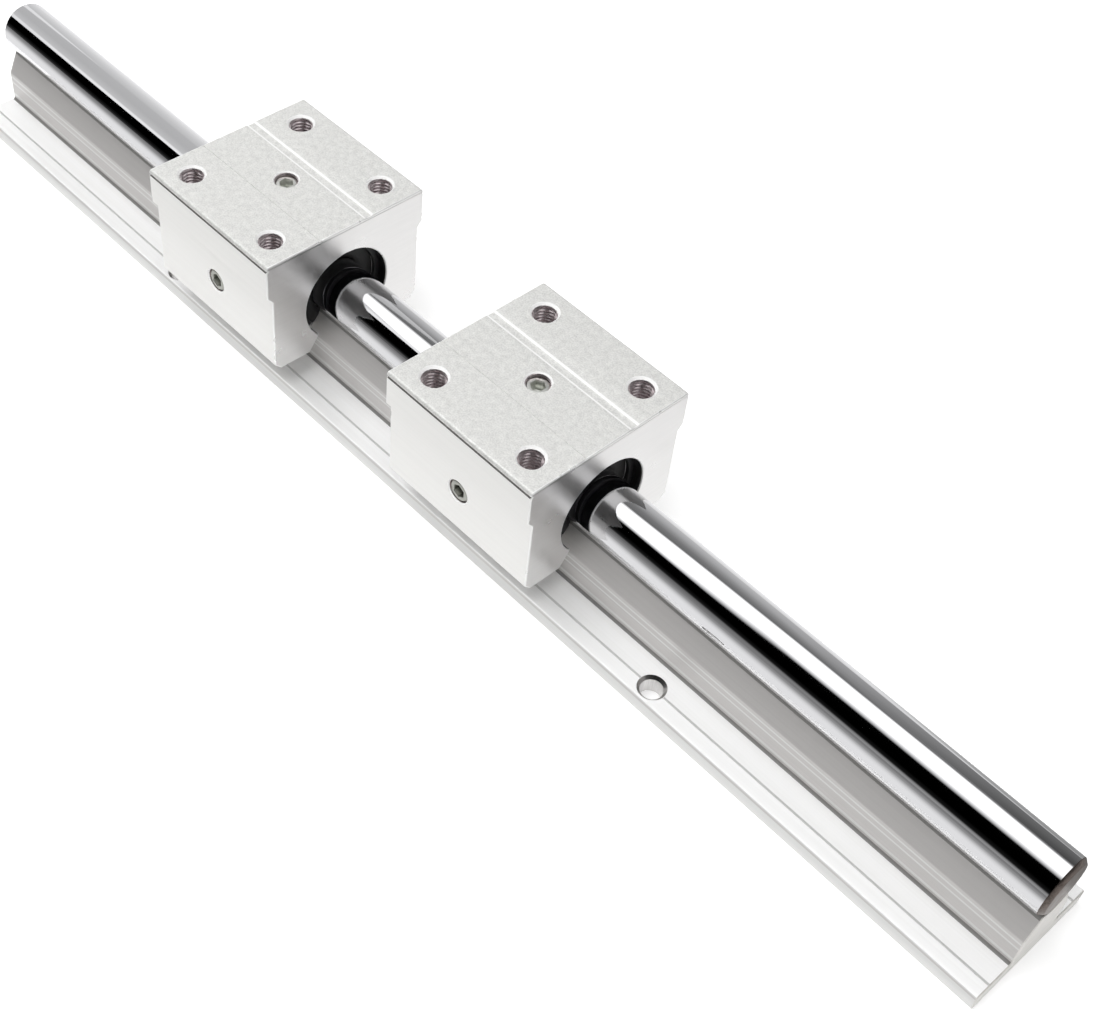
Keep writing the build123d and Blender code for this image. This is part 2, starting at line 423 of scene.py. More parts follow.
BLASTED = Blasted("block_blasted_top", (0.775, 0.775, 0.755), 0.45, 0.45, 0.16)
BLOCK_SIDE = Drawn("block_satin_side", (0.89, 0.885, 0.865), 0.75, 0.32, 0.025, stain_size=14.0)
BLOCK_END = Sawn("block_sawn_end", (0.84, 0.832, 0.825), 0.9, 0.32, 0.03, stroke_size=0.5,
                 stroke_depth=0.0008)
BLOCK_EDGE = Sawn("block_bright_edge", (0.95, 0.95, 0.94), 0.5, 0.3, 0.03)
# Painted highlight: a near-white matt tone on the walls of the top groove and on the countersinks of the
# holes, for the bright lines that light draws there.
BLOCK_HIGHLIGHT = Sawn("block_painted_highlight", (0.97, 0.97, 0.96), 0.0, 0.4, 0.01)
# Painted shade: a near-black tone on the slopes of the fine notch under each top edge, for the shade in it.
BLOCK_SHADED_NOTCH = Sawn("block_notch_painted_shade", (0.16, 0.155, 0.15), 0.2, 0.5, 0.35)
# Painted shade: a near-black tone on the bore's aluminium wall and its ring grooves, for the shade inside the
# block.
BLOCK_SHADED_BORE = Turned("block_bore_painted_shade", (0.10, 0.10, 0.105), 1.0, 0.34, 0.2)
BLOCK_THREAD = Turned("block_tapped_hole", (0.80, 0.715, 0.73), 1.0, 0.36, 0.12)
# The rail's one aluminium comes in a lit copy and in copies of painted shade. The skin, on the tops, the
# underside and the holes, is the lit tone.
RAIL_LIT_SKIN = Drawn("rail_skin_painted_light", (0.97, 0.97, 0.965), 0.2, 0.38, 0.04,
                  stain_size=2.6, stain_draw=0.01)
# Painted shade: the sides, the guide lines and the lines on the web take a darker copy, because less light
# falls on faces that look sideways.
RAIL_SHADED_SIDE = Drawn("rail_side_painted_shade", (0.70, 0.70, 0.69), 0.4, 0.36, 0.05,
                  stain_size=2.6, stain_draw=0.01)
# Painted shade: the web is darker still, for the shade of the shaft above it. The band along each side of the
# base takes this tone too.
RAIL_SHADED_WEB = Drawn("rail_web_painted_shade", (0.57, 0.555, 0.545), 0.4, 0.36, 0.07,
                 stain_size=1.5, stain_draw=0.01)
# Painted shade: the neck right under the shaft, darker again for the shade that the shaft casts on it.
RAIL_SHADED_NECK = Drawn("rail_neck_painted_shade", (0.50, 0.487, 0.478), 0.4, 0.36, 0.05,
                  stain_size=2.5, stain_draw=0.01)
# Painted shade: near black in the crease at the web's foot and in a thin strip right under the shaft.
RAIL_SHADED_CREASE = Drawn("rail_crease_painted_shade", (0.25, 0.245, 0.235), 0.3, 0.4, 0.05,
                    stain_size=1.5, stain_draw=0.01)
RAIL_END = Sawn("rail_sawn_end", (0.68, 0.665, 0.635), 0.5, 0.4, 0.14, stroke_depth=0.003,
                cloud_size=2.0)
RAIL_HOLE = Turned("rail_drilled_hole", (0.68, 0.67, 0.66), 1.0, 0.3, 0.12)
CHROME = Ground("shaft_hard_chrome", (0.73, 0.73, 0.745), 1.0, 0.05, 0.02)
SHAFT_END = Sawn("shaft_cut_end", (0.13, 0.108, 0.096), 1.0, 0.4, 0.5, stroke_depth=0.003,
                 cloud_size=1.6)
BEARING = Ground("bearing_ground_steel", (0.40, 0.40, 0.41), 1.0, 0.2, 0.06)
BALL = Ground("bearing_ball_steel", (0.8, 0.8, 0.81), 1.0, 0.08, 0.03)
SCREW = Turned("screw_plated_steel", (0.86, 0.87, 0.83), 1.0, 0.3, 0.1)
SCREW_DULL = Turned("screw_dull_steel", (0.42, 0.425, 0.39), 1.0, 0.3, 0.1)
RING = Moulded("ring_black_steel", (0.03, 0.03, 0.031), 0.3, 0.4, 0.2)
CAGE = Moulded("cage_black_plastic", (0.022, 0.022, 0.023), 0.0, 0.42, 0.15)
SEAL = Moulded("seal_black_rubber", (0.008, 0.008, 0.008), 0.0, 0.6, 0.2)


class Shell:
    """The surface of one piece, gathered in millimetres from grids and flat faces."""

    def __init__(self) -> None:
        """Start with nothing in it."""
        self.points: list[np.ndarray] = []
        self.faces: list[list[int]] = []
        self.finish_of: list[int] = []
        self.finishes: list[Finish] = []
        self.count = 0

    def _slot(self, finish: Finish) -> int:
        """The place of a finish among the piece's finishes."""
        if finish not in self.finishes:
            self.finishes.append(finish)
        return self.finishes.index(finish)

    def _keep(self, faces: list[list[int]], points: np.ndarray, finish: Finish) -> None:
        """Add points, and faces that count from the first of them."""
        self.points.append(points)
        self.faces += faces
        self.finish_of += [self._slot(finish)] * len(faces)
        self.count += len(points)

    def grid(self, points: np.ndarray, finish: Finish, cells: np.ndarray | None = None) -> None:
        """Add a two-parameter grid: cell (i, j) is the quad of points (i, j) to (i + 1, j + 1).

        Args:
            points: rows x columns x 3.
            finish: the finish of its faces.
            cells: True for each cell that is wanted, all of them if left out.
        """
        rows, columns = points.shape[:2]
        index = self.count + np.arange(rows * columns).reshape(rows, columns)
        quads = np.stack([index[:-1, :-1], index[1:, :-1], index[1:, 1:], index[:-1, 1:]], axis=-1)
        quads = quads.reshape(-1, 4) if cells is None else quads[cells]
        self._keep(quads.tolist(), points.reshape(-1, 3), finish)

    def flat(self, points: np.ndarray, finish: Finish) -> None:
        """Add one flat face with the given rim.

        Args:
            points: its corners in order, n x 3.
            finish: its finish.
        """
        self._keep([(self.count + np.arange(len(points))).tolist()], points, finish)

    def piece(self, name: str, body: str, slot: str, nodes: Sequence[str]) -> bpy.types.Object:
        """Make the mesh: doubles merged, faces outwards, rounded edges shaded smooth.

        Args:
            name: the piece's name.
            body: the body that it rides on.
            slot: the record's material slot; not used.
            nodes: the solids that it stands for.

        Returns:
            The finished object.
        """
        mesh = bpy.data.meshes.new(name)
        mesh.from_pydata((np.concatenate(self.points) * MM).tolist(), [], self.faces)
        mesh.polygons.foreach_set("material_index", self.finish_of)
        work = bmesh.new()
        work.from_mesh(mesh)
        bmesh.ops.remove_doubles(work, verts=work.verts[:], dist=MERGE_DISTANCE)
        bmesh.ops.recalc_face_normals(work, faces=work.faces[:])
        loose = [vertex for vertex in work.verts if not vertex.link_faces]
        bmesh.ops.delete(work, geom=loose, context="VERTS")
        work.to_mesh(mesh)
        work.free()
        for finish in self.finishes:
            mesh.materials.append(finish.material())
        mesh.polygons.foreach_set("use_smooth", [True] * len(mesh.polygons))
        mesh.set_sharp_from_angle(angle=SHARP_ANGLE)
        obj = hang(name, mesh)
        steady = obj.modifiers.new("steady_normals", "WEIGHTED_NORMAL")
        steady.keep_sharp = True
        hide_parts(*nodes)
        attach(obj, body)
        triangles = sum(len(face.vertices) - 2 for face in mesh.polygons)
        LOG.info("%s: %d triangles on %s", name, triangles, body)
        return obj


def fan(centre: float, half: float, steps: int = 6) -> np.ndarray:
    """Stations round a hole, at centre + half * tan(angle) for even angles from -45 to 45 degrees.

    Args:
        centre: the middle station.
        half: how far the outermost stations lie from it.
        steps: the number of steps on each side.

    Returns:
        The stations in rising order.
    """
    angles = np.linspace(-math.pi / 4, math.pi / 4, 2 * steps + 1)
    return centre + half * np.tan(angles)


def stations(*groups: Sequence[float], near: float = 0.012) -> np.ndarray:
    """All the stations in rising order, without near doubles."""
    merged = np.sort(np.concatenate([np.asarray(group, dtype=float) for group in groups]))
    return merged[np.insert(np.diff(merged) > near, 0, True)]


def rounded(corners: Sequence[Corner], steps: int = 4) -> np.ndarray:
    """A closed outline with its corners rounded.

    At a corner with unit directions a and b to its neighbours and half angle h between them, the arc's
    centre lies at corner + (a + b) / |a + b| * radius / sin(h), and the arc starts and stops
    radius / tan(h) from the corner.

    Args:
        corners: y, z and radius of each, counter-clockwise.
        steps: the segments of an arc.

    Returns:
        The outline's points, n x 2.
    """
    places = np.array([corner[:2] for corner in corners])
    runs = []
    for number, (y, z, radius) in enumerate(corners):
        here = np.array([y, z])
        if not radius:
            runs.append(here[None])
            continue
        back = places[number - 1] - here
        ahead = places[(number + 1) % len(places)] - here
        back, ahead = back / np.linalg.norm(back), ahead / np.linalg.norm(ahead)
        half = math.acos(np.clip(back @ ahead, -1, 1)) / 2
        bisector = (back + ahead) / np.linalg.norm(back + ahead)
        centre = here + bisector * radius / math.sin(half)
        first = here + back * radius / math.tan(half) - centre
        last = here + ahead * radius / math.tan(half) - centre
        share = np.linspace(0, 1, steps + 1)[:, None]
        sweep = math.pi - 2 * half
        arc = (np.sin((1 - share) * sweep) * first + np.sin(share * sweep) * last) / math.sin(sweep)
        runs.append(centre + arc)
    return np.concatenate(runs)


def mitres(outline: np.ndarray) -> np.ndarray:
    """For each point of a closed outline, the way outwards that shifts both its edges by one.

    With the outward normals m and n of its two edges it is (m + n) / (1 + m.n).

    Args:
        outline: the points, counter-clockwise, n x 2.

    Returns:
        The ways outwards, n x 2.
    """
    ahead = np.roll(outline, -1, axis=0) - outline
    ahead /= np.linalg.norm(ahead, axis=1)[:, None]
    after = np.stack([ahead[:, 1], -ahead[:, 0]], axis=1)
    before = np.roll(after, 1, axis=0)
    return (before + after) / np.maximum(1 + (before * after).sum(1), 0.3)[:, None]


class Extrusion:
    """A closed outline carried along x, with its ends rounded over and holes let into its faces."""

    def __init__(self, outline: np.ndarray, along: np.ndarray, middle: float, edge: float,
                 steps: int = 3) -> None:
        """Lay out the grid: the point of station i and outline point j is (x_i, y_j, z_j).

        At each end the outline is inset by edge * (1 - cos(t)) while x runs on by edge * sin(t).

        Args:
            outline: the outline's points in y and z, counter-clockwise.
            along: the stations between the rounded ends, from the piece's middle.
            middle: the x of the piece's middle.
            edge: the radius of the end rounding.
            steps: its segments.
        """
        self.steps = steps
        turn = np.linspace(0, math.pi / 2, steps + 1)[1:]
        shift, inset = edge * np.sin(turn), edge * (1 - np.cos(turn))
        self.along = np.concatenate([along[0] - shift[::-1], along, along[-1] + shift]) + middle
        insets = np.concatenate([inset[::-1], np.zeros(len(along)), inset])
        self.outline = outline
        flat = outline[None] - insets[:, None, None] * mitres(outline)[None]
        x = np.broadcast_to(self.along[:, None, None], (len(self.along), len(outline), 1))
        self.points = np.concatenate([x, flat], axis=2)
        self.cells = np.ones((len(self.along) - 1, len(outline)), dtype=bool)

    def let_in(self, low_x: float, high_x: float, first: tuple[float, float],
               last: tuple[float, float]) -> np.ndarray:
        """Take out a block of cells for a hole.

        Args:
            low_x: the station where it starts.
            high_x: the station where it ends.
            first: the outline point where it starts, in y and z.
            last: the outline point where it ends.

        Returns:
            The points round the gap, closed, n x 3.
        """
        rows = sorted(int(np.abs(self.along - x).argmin()) for x in (low_x, high_x))
        columns = sorted(int(np.linalg.norm(self.outline - p, axis=1).argmin()) for p in (first, last))
        (i, k), (j, m) = rows, columns
        self.cells[i:k, j:m] = False
        grid = self.points
        sides = (grid[i, j:m], grid[i:k, m], grid[k, m:j:-1], grid[k:i:-1, j], grid[i:i + 1, j])
        return np.concatenate(sides)

    def build(self, shell: Shell, finishes: Sequence[Finish], choice: np.ndarray, edge: Finish,
              end: Finish) -> None:
        """Put the sides, the end roundings and the end faces into a shell.

        Args:
            shell: the piece's surface.
            finishes: the finishes of the sides.
            choice: for each step of the outline, which of them it has.
            edge: the finish of the end roundings.
            end: the finish of the end faces.
        """
        ring = np.concatenate([self.points, self.points[:, :1]], axis=1)
        rounding = np.ones((len(self.cells), 1), dtype=bool)
        rounding[self.steps:-self.steps] = False
        for number, finish in enumerate(finishes):
            shell.grid(ring, finish, self.cells & (choice == number)[None] & ~rounding)
        shell.grid(ring, edge, self.cells & rounding)
        for row in (self.points[0], self.points[-1]):
            shell.flat(row, end)


@dataclass(frozen=True)
class Axis:
    """A hole's or screw's axis: its origin on the surface and three square directions."""
    origin: Vector3
    right: Vector3
    up: Vector3
    out: Vector3

    def place(self, angle: np.ndarray, radius: np.ndarray, height: np.ndarray) -> np.ndarray:
        """origin + radius * (cos(angle) * right + sin(angle) * up) + height * out.

        Args:
            angle: the angle round the axis.
            radius: the distance from it.
            height: the distance above the origin along it.

        Returns:
            The points, with one more dimension than the broadcast inputs.
        """
        angle, radius, height = (part[..., None] for part in np.broadcast_arrays(angle, radius, height))
        flat = np.cos(angle) * np.array(self.right) + np.sin(angle) * np.array(self.up)
        return np.array(self.origin) + radius * flat + height * np.array(self.out)

    def angles(self, points: np.ndarray) -> np.ndarray:
        """The angle of each point round the axis."""
        away = points - np.array(self.origin)
        return np.arctan2(away @ np.array(self.up), away @ np.array(self.right))


Wall = Callable[[np.ndarray, np.ndarray], np.ndarray]


def upright(x: float, y: float, z: float) -> Axis:
    """The axis of a hole or screw in a face that looks up."""
    return Axis((x, y, z), X_AXIS, Y_AXIS, Z_AXIS)


def upside_down(x: float, y: float, z: float) -> Axis:
    """The axis of a hole or screw in a face that looks down."""
    return Axis((x, y, z), X_AXIS, Y_AXIS, DOWN)


def sideways(x: float, y: float, z: float) -> Axis:
    """The axis of a hole or screw in the front side."""
    return Axis((x, y, z), X_AXIS, Z_AXIS, FORWARD)


def thread_wall(core: float, outer: float, pitch: float, rim: float) -> Wall:
    """The wall of a tapped hole with a countersunk rim.

    radius = max(core + (outer - core) * wave, rim - depth), where wave is the square root of
    0.5 + 0.5 * cos(turn) and turn = 2 pi * depth / pitch - angle, so the ridges are sharper than the valleys.

    Args:
        core: the radius of the ridges.
        outer: the radius of the valleys.
        pitch: the step from ridge to ridge.
        rim: the radius of the countersink at the surface.

    Returns:
        A function from angle and depth to radius.
    """
    def radius(angle: np.ndarray, depth: np.ndarray) -> np.ndarray:
        """The wall's radius at an angle and a depth."""
        wave = np.sqrt(0.5 + 0.5 * np.cos(2 * math.pi * depth / pitch - angle))
        return np.maximum(core + (outer - core) * wave, rim - depth)
    return radius


def sink_hole(shell: Shell, gap: np.ndarray, axis: Axis, wall: Wall, depths: np.ndarray, face: Finish,
              inside: Finish, point: float | None = 0.0, dip: Wall | None = None, cut: Finish | None = None,
              cut_depth: float = 0.0) -> None:
    """Fill a gap of the surface with a round hole.

    The face is P(u, v) = (1 - v) * rim(u) + v * gap(u), and the wall is a grid of the gap's angles by the
    depths.

    Args:
        shell: the piece's surface.
        gap: the closed row of points round the gap.
        axis: the hole's axis.
        wall: the wall's radius from angle and depth.
        depths: the depths of the wall's rows, from 0.
        face: the finish of the face.
        inside: the finish of the wall.
        point: how much deeper the middle of the floor lies, or None for a hole that goes through.
        dip: how far the rim lies under the surface, from angle and radius.
        cut: the finish of the countersink, where it has its own.
        cut_depth: the depth of the countersink.
    """
    angle = axis.angles(gap)
    rim_radius = wall(angle, np.zeros_like(angle))
    sunk = dip(angle, rim_radius) if dip else np.zeros_like(angle)
    rim = axis.place(angle, rim_radius, -sunk)
    share = np.linspace(0, 1, 4)[:, None, None]
    shell.grid((1 - share) * rim + share * gap, face)
    deep = np.maximum(depths[:, None], sunk[None]) if dip else np.repeat(depths[:, None], len(angle), axis=1)
    around = np.broadcast_to(angle, deep.shape)
    rows = axis.place(around, wall(around, depths[:, None]), -deep)
    cut_rows = int((depths < cut_depth).sum()) if cut else 0
    if cut_rows:
        shell.grid(rows[:cut_rows + 1], cut)
    shell.grid(rows[cut_rows:], inside)
    if point is not None:
        middle = axis.place(angle, np.zeros_like(angle), -np.full_like(angle, depths[-1] + point))
        shell.grid(np.stack([rows[-1], middle]), inside)


def revolve(axis: Axis, profile: np.ndarray, around: int = 72, start: float = 0.0,
            stop: float = 2 * math.pi) -> np.ndarray:
    """Carry a profile round an axis.

    Args:
        axis: the axis, whose out is the way of growing height.
        profile: radius and height of each row, n x 2.
        around: the steps round.
        start: the first angle.
        stop: the last angle.

    Returns:
        The grid, n x (around + 1) x 3.
    """
    angle = np.linspace(start, stop, around + 1)[None]
    return axis.place(angle, profile[:, :1], profile[:, 1:])


@dataclass(frozen=True)
class SupportRail:
    """The aluminium extrusion under the shaft, from an outline mirrored about the middle."""
    length: float = 300.0
    half_base: float = 15.0
    base_top: float = 4.2
    base_edge: float = 0.25
    half_web: float = 6.0
    web_top: float = 11.5
    web_foot: float = 0.5
    web_bend: float = 1.2
    lip_edge: float = 0.3
    seat_radius: float = 6.02
    shaft_height: float = 22.0
    seat_half_angle: float = 33.24
    # Where the strip of darkest painted shade under the shaft begins, on the web's neck.
    lip_height: float = 16.1
    guide_y: float = 11.75
    guide_half: float = 0.25
    guide_depth: float = 0.22
    # A band of painted shade along each side of the base: its low and its high edge.
    shade_band: tuple[float, float] = (3.0, 3.6)
    web_lines: tuple[tuple[float, float], ...] = ((5.3, 6.0), (8.8, 9.25), (10.3, 10.75))
    hole_x: float = 73.0
    hole_radius: float = 2.25
    hole_rim: float = 2.88
    hole_block: float = 2.98
    bolt_x: tuple[float, ...] = (-112.5, -37.5, 37.5, 112.5)
    bolt_pocket: float = 4.0
    bolt_pocket_depth: float = 4.6
    bolt_hole: float = 2.25
    bolt_block: float = 4.8
    bolt_edge: float = 0.2
    bolt_recess: float = 0.6
    bolt_spare: float = 0.3
    under_edge: float = 0.1
    end_edge: float = 0.25

    def half_outline(self) -> list[Corner]:
        """The corners on the +Y side, from the underside up to the middle of the seat.

        Returns:
            y, z and radius of each corner.
        """
        low = [(y, 0.0, 0.0) for y in fan(0.0, self.bolt_block) if y > -SAME_POINT]
        guide = [self.guide_y - self.guide_half, self.guide_y + self.guide_half]
        flange = stations(fan(self.guide_y, self.hole_block), guide, near=SAME_FACE)
        low += [(y, 0.0, 0.0) for y in flange]
        side = [(self.half_base, 0.0, self.base_edge), *((self.half_base, z, 0.0) for z in self.shade_band),
                (self.half_base, self.base_top, self.base_edge)]
        top = [(y, self.base_top - self.guide_depth * (abs(y - self.guide_y) < SAME_LINE), 0.0)
               for y in flange[::-1]]
        angles = np.linspace(math.radians(self.seat_half_angle), 0, 13)
        bed = [(self.seat_radius * math.sin(a), self.shaft_height - self.seat_radius * math.cos(a), 0.0)
               for a in angles]
        lip = (bed[0][0] + self.lip_edge, bed[0][1] - self.lip_edge, 0.0)
        share = (self.lip_height - self.web_top) / (lip[1] - self.web_top)
        web = [(self.half_web, self.base_top, self.web_foot),
               *((self.half_web, z, 0.0) for line in self.web_lines for z in line),
               (self.half_web, self.web_top, self.web_bend),
               (self.half_web + share * (lip[0] - self.half_web), self.lip_height, 0.0), lip]
        return low + side + top + web + bed

    def stations(self) -> np.ndarray:
        """The places along x where the grid needs a row."""
        holes = [fan(x, self.hole_block) for x in (-self.hole_x, self.hole_x)]
        bolts = [fan(x, self.bolt_block) for x in self.bolt_x]
        half = self.length / 2 - self.end_edge
        return stations([-half, half], np.linspace(-half, half, 13), *holes, *bolts)

    def flange_hole(self, shell: Shell, body: Extrusion, x: float, side: Flank) -> None:
        """Drill one mounting hole through a flange, with its rim broken above and below.

        Args:
            shell: the rail's surface.
            body: the rail's grid.
            x: the hole's place along the rail.
            side: the flange.
        """
        y = side.value * self.guide_y
        spans = (x - self.hole_block, x + self.hole_block)
        ends = (y - self.hole_block, y + self.hole_block)
        gap = body.let_in(*spans, (ends[0], self.base_top), (ends[1], self.base_top))
        chamfer, edge = self.hole_rim - self.hole_radius, self.under_edge

        def wall(angle: np.ndarray, depth: np.ndarray) -> np.ndarray:
            """Countersunk at the top, straight below."""
            return np.maximum(self.hole_radius, self.hole_rim - depth) + 0 * angle

        def dip(angle: np.ndarray, radius: np.ndarray) -> np.ndarray:
            """The guide line's depth where it meets the rim."""
            across = np.abs(radius * np.sin(angle))
            return self.guide_depth * np.clip(1 - across / self.guide_half, 0, 1)

        depths = np.concatenate([np.linspace(0, chamfer, 4), [self.base_top / 2, self.base_top - edge]])
        sink_hole(shell, gap, upright(x, y, self.base_top), wall, depths, RAIL_LIT_SKIN, RAIL_HOLE, None, dip)
        gap = body.let_in(*spans, (ends[0], 0.0), (ends[1], 0.0))
        sink_hole(shell, gap, upside_down(x, y, 0.0),
                  lambda angle, depth: self.hole_radius + edge - depth + 0 * angle,
                  np.array([0.0, edge]), RAIL_LIT_SKIN, RAIL_HOLE, None)

    def bolt_seat(self, shell: Shell, body: Extrusion, x: float) -> None:
        """Sink one stepped hole for a shaft screw into the underside.

        Args:
            shell: the rail's surface.
            body: the rail's grid.
            x: the hole's place along the rail.
        """
        block, step, edge = self.bolt_block, self.bolt_pocket_depth, self.bolt_edge
        gap = body.let_in(x - block, x + block, (-block, 0.0), (block, 0.0))
        table = ([0, edge, step, step + SAME_LINE, step + edge],
                 [self.bolt_pocket + edge, self.bolt_pocket, self.bolt_pocket, self.bolt_hole + edge,
                  self.bolt_hole])
        depths = np.array([*table[0], self.shaft_height - self.seat_radius - self.bolt_spare])
        sink_hole(shell, gap, upside_down(x, 0.0, 0.0),
                  lambda angle, depth: np.interp(depth, *table) + 0 * angle, depths, RAIL_LIT_SKIN, RAIL_HOLE)

    def build(self) -> None:
        """Build and dress the rail."""
        half = self.half_outline()
        mirrored = [(-y, z, radius) for y, z, radius in half[::-1] if y > SAME_POINT]
        outline = rounded(mirrored + half)
        body = Extrusion(outline, self.stations(), 0.0, self.end_edge)
        shell = Shell()
        for x in (-self.hole_x, self.hole_x):
            for side in Flank:
                self.flange_hole(shell, body, x, side)
        for x in self.bolt_x:
            self.bolt_seat(shell, body, x)
        # The rail's one aluminium, in its lit tone and in its copies of painted shade.
        body.build(shell, [RAIL_LIT_SKIN, RAIL_SHADED_SIDE, RAIL_SHADED_WEB, RAIL_SHADED_NECK, RAIL_SHADED_CREASE], self.choose(outline),
                   RAIL_END, RAIL_END)
        shell.piece("rail_section", "rail", "rail_aluminium", ["support_rail"])

    def choose(self, outline: np.ndarray) -> np.ndarray:
        """Choose the finish of each step of the outline.

        Args:
            outline: the outline's points.

        Returns:
            0 for the skin in the lit tone, 1 for the sides and the bright and guide lines in painted shade, 2
            for the web and the band along each side in deeper painted shade, 3 for the neck in painted shade
            under the shaft and 4 for the creases at the web's foot and under the shaft in the darkest painted
            shade.
        """
        between = 0.5 * (outline + np.roll(outline, -1, axis=0))
        away, high = np.abs(between[:, 0]), between[:, 1]
        on_side = (away > self.half_base - SAME_FACE) & (high > self.base_edge)
        on_side &= high < self.base_top - self.base_edge
        # The band of painted shade along each side takes the web's shaded tone.
        in_band = on_side & (high > self.shade_band[0]) & (high < self.shade_band[1])
        foot_top = self.base_top + self.web_foot
        on_web = (away < self.half_web + SAME_FACE) & (high > foot_top) & (high < self.web_top)
        choice = on_side * 1 + (in_band | on_web) * (2 - on_side) + (high > self.web_top) * 3
        for low, top in self.web_lines:
            choice[on_web & (high > low) & (high < top)] = 1
        choice[(np.abs(away - self.guide_y) < self.guide_half) & (high > self.base_edge)] = 1
        # The crease at the web's foot and the strip under the shaft take the darkest painted shade.
        in_foot = (away < self.half_web + self.web_foot) & (high > self.base_top + SAME_LINE)
        choice[(in_foot & (high < foot_top)) | (high > self.lip_height)] = 4
        return choice


@dataclass(frozen=True)
class Shaft:
    """The round shaft, a profile of radius and x turned about its own axis."""
    length: float = 300.0
    radius: float = 6.0
    height: float = 22.0
    chamfer: float = 0.8
    break_edge: float = 0.12
    around: int = 144

    def build(self) -> None:
        """Build and dress the shaft."""
        half, edge = self.length / 2, self.break_edge
        flat, root = self.radius - self.chamfer, half - self.chamfer
        end = np.array([(0.0, half), (flat * 0.5, half), (flat - edge, half),
                        (flat + edge * 0.6, half - edge * 0.4), (self.radius - edge * 0.6, root + edge * 0.4),
                        (self.radius - edge * 0.1, root - edge * 0.4), (self.radius, root - edge)])
        axis = Axis((0.0, 0.0, self.height), Y_AXIS, Z_AXIS, X_AXIS)
        shell = Shell()
        for side in End:
            shell.grid(revolve(axis, end * np.array([1, side.value]), self.around), SHAFT_END)
        run = np.linspace(edge - root, root - edge, 9)
        barrel = np.stack([np.full_like(run, self.radius), run], axis=1)
        shell.grid(revolve(axis, barrel, self.around), CHROME)
        shell.piece("guide_shaft", "rail", "shaft_chrome", ["shaft"])


@dataclass(frozen=True)
class SocketScrew:
    """A screw with a hexagon socket: rows of a turned grid, the inner ones following the hexagon."""
    across_flats: float
    socket_depth: float
    shank: float
    pitch: float
    length: float
    head: float = 0.0
    head_height: float = 0.0
    head_round: float = 0.5
    edge: float = 0.25
    face_round: float = 0.4
    face_gap: float = 0.05
    tip: float = 0.5
    steps_per_turn: int = 6
    socket_rim: float = 0.12
    rim_depth: float = 0.2
    socket_floor: Stops = ((0.0, 0.35), (0.55, 0.2), (1.0, 0.0))
    around: int = 72
    finish: Finish = SCREW

    def hexagon(self, angle: np.ndarray, grow: float = 0.0) -> np.ndarray:
        """The socket's radius: half the width across flats / cos(angle from the nearest flat).

        Args:
            angle: the angle round the axis.
            grow: how much wider the hexagon is made on each side.

        Returns:
            The radius at each angle.
        """
        sixth = math.pi / 3
        return (self.across_flats / 2 + grow) / np.cos((angle + sixth / 2) % sixth - sixth / 2)

    def profile(self) -> np.ndarray:
        """Radius and height of the rows outside the socket, from the face down to the tip.

        Returns:
            The rows, n x 2.
        """
        edge, gap, drop, tip = self.edge, self.face_gap, self.face_round, self.tip
        if self.head:
            low, high = -self.head_height, self.head_round
            rows = [(self.head - high, 0.0), (self.head - 0.3 * high, -0.24 * high), (self.head, -high),
                    (self.head, low + edge), (self.head - edge, low), (self.shank + edge, low),
                    (self.shank, low - edge)]
        else:
            rows = [(self.shank - drop - gap, 0.0), (self.shank - drop, -0.4 * gap),
                    (self.shank - gap, -0.9 * drop)]
        start = rows[-1][1]
        count = int((self.length + start - tip) / self.pitch) * self.steps_per_turn
        heights = np.linspace(start - gap, drop - self.length, max(count, 2))
        waves = 0.5 - 0.5 * np.cos(2 * math.pi * heights / self.pitch)
        turned = np.stack([self.shank - self.pitch * 0.25 * waves, heights], axis=1)
        return np.concatenate([rows, turned, [(self.shank - tip, -self.length), (0.0, -self.length)]])

    def build(self, name: str, body: str, node: str, axis: Axis) -> None:
        """Build and dress the screw.

        Args:
            name: the piece's name.
            body: the body that it rides on.
            node: the solid that it stands for.
            axis: its axis, with the origin in the middle of the face and out pointing away from the tip.
        """
        angle = np.linspace(0, 2 * math.pi, self.around + 1)
        socket = self.hexagon(angle)
        floor = -self.socket_depth
        rows = [*((socket * share, floor - deep) for share, deep in self.socket_floor),
                (socket, -self.rim_depth), (self.hexagon(angle, self.socket_rim), 0.0)]
        inner = np.stack([axis.place(angle, radius, np.full_like(angle, height)) for radius, height in rows])
        outer = revolve(axis, self.profile(), self.around)
        shell = Shell()
        for grid in (inner, np.stack([inner[-1], outer[0]]), outer):
            shell.grid(grid, self.finish)
        shell.piece(name, body, "screw_steel", [node])


SHAFT_SCREW = SocketScrew(across_flats=3.0, socket_depth=2.0, shank=2.0, pitch=0.7, length=20.4, head=3.5,
                          head_height=4.0)
TOP_SCREW = SocketScrew(across_flats=2.5, socket_depth=2.4, shank=2.5, pitch=0.8, length=5.5)
SIDE_SCREW = SocketScrew(across_flats=2.5, socket_depth=2.8, shank=2.5, pitch=0.8, length=7.9,
                         finish=SCREW_DULL)


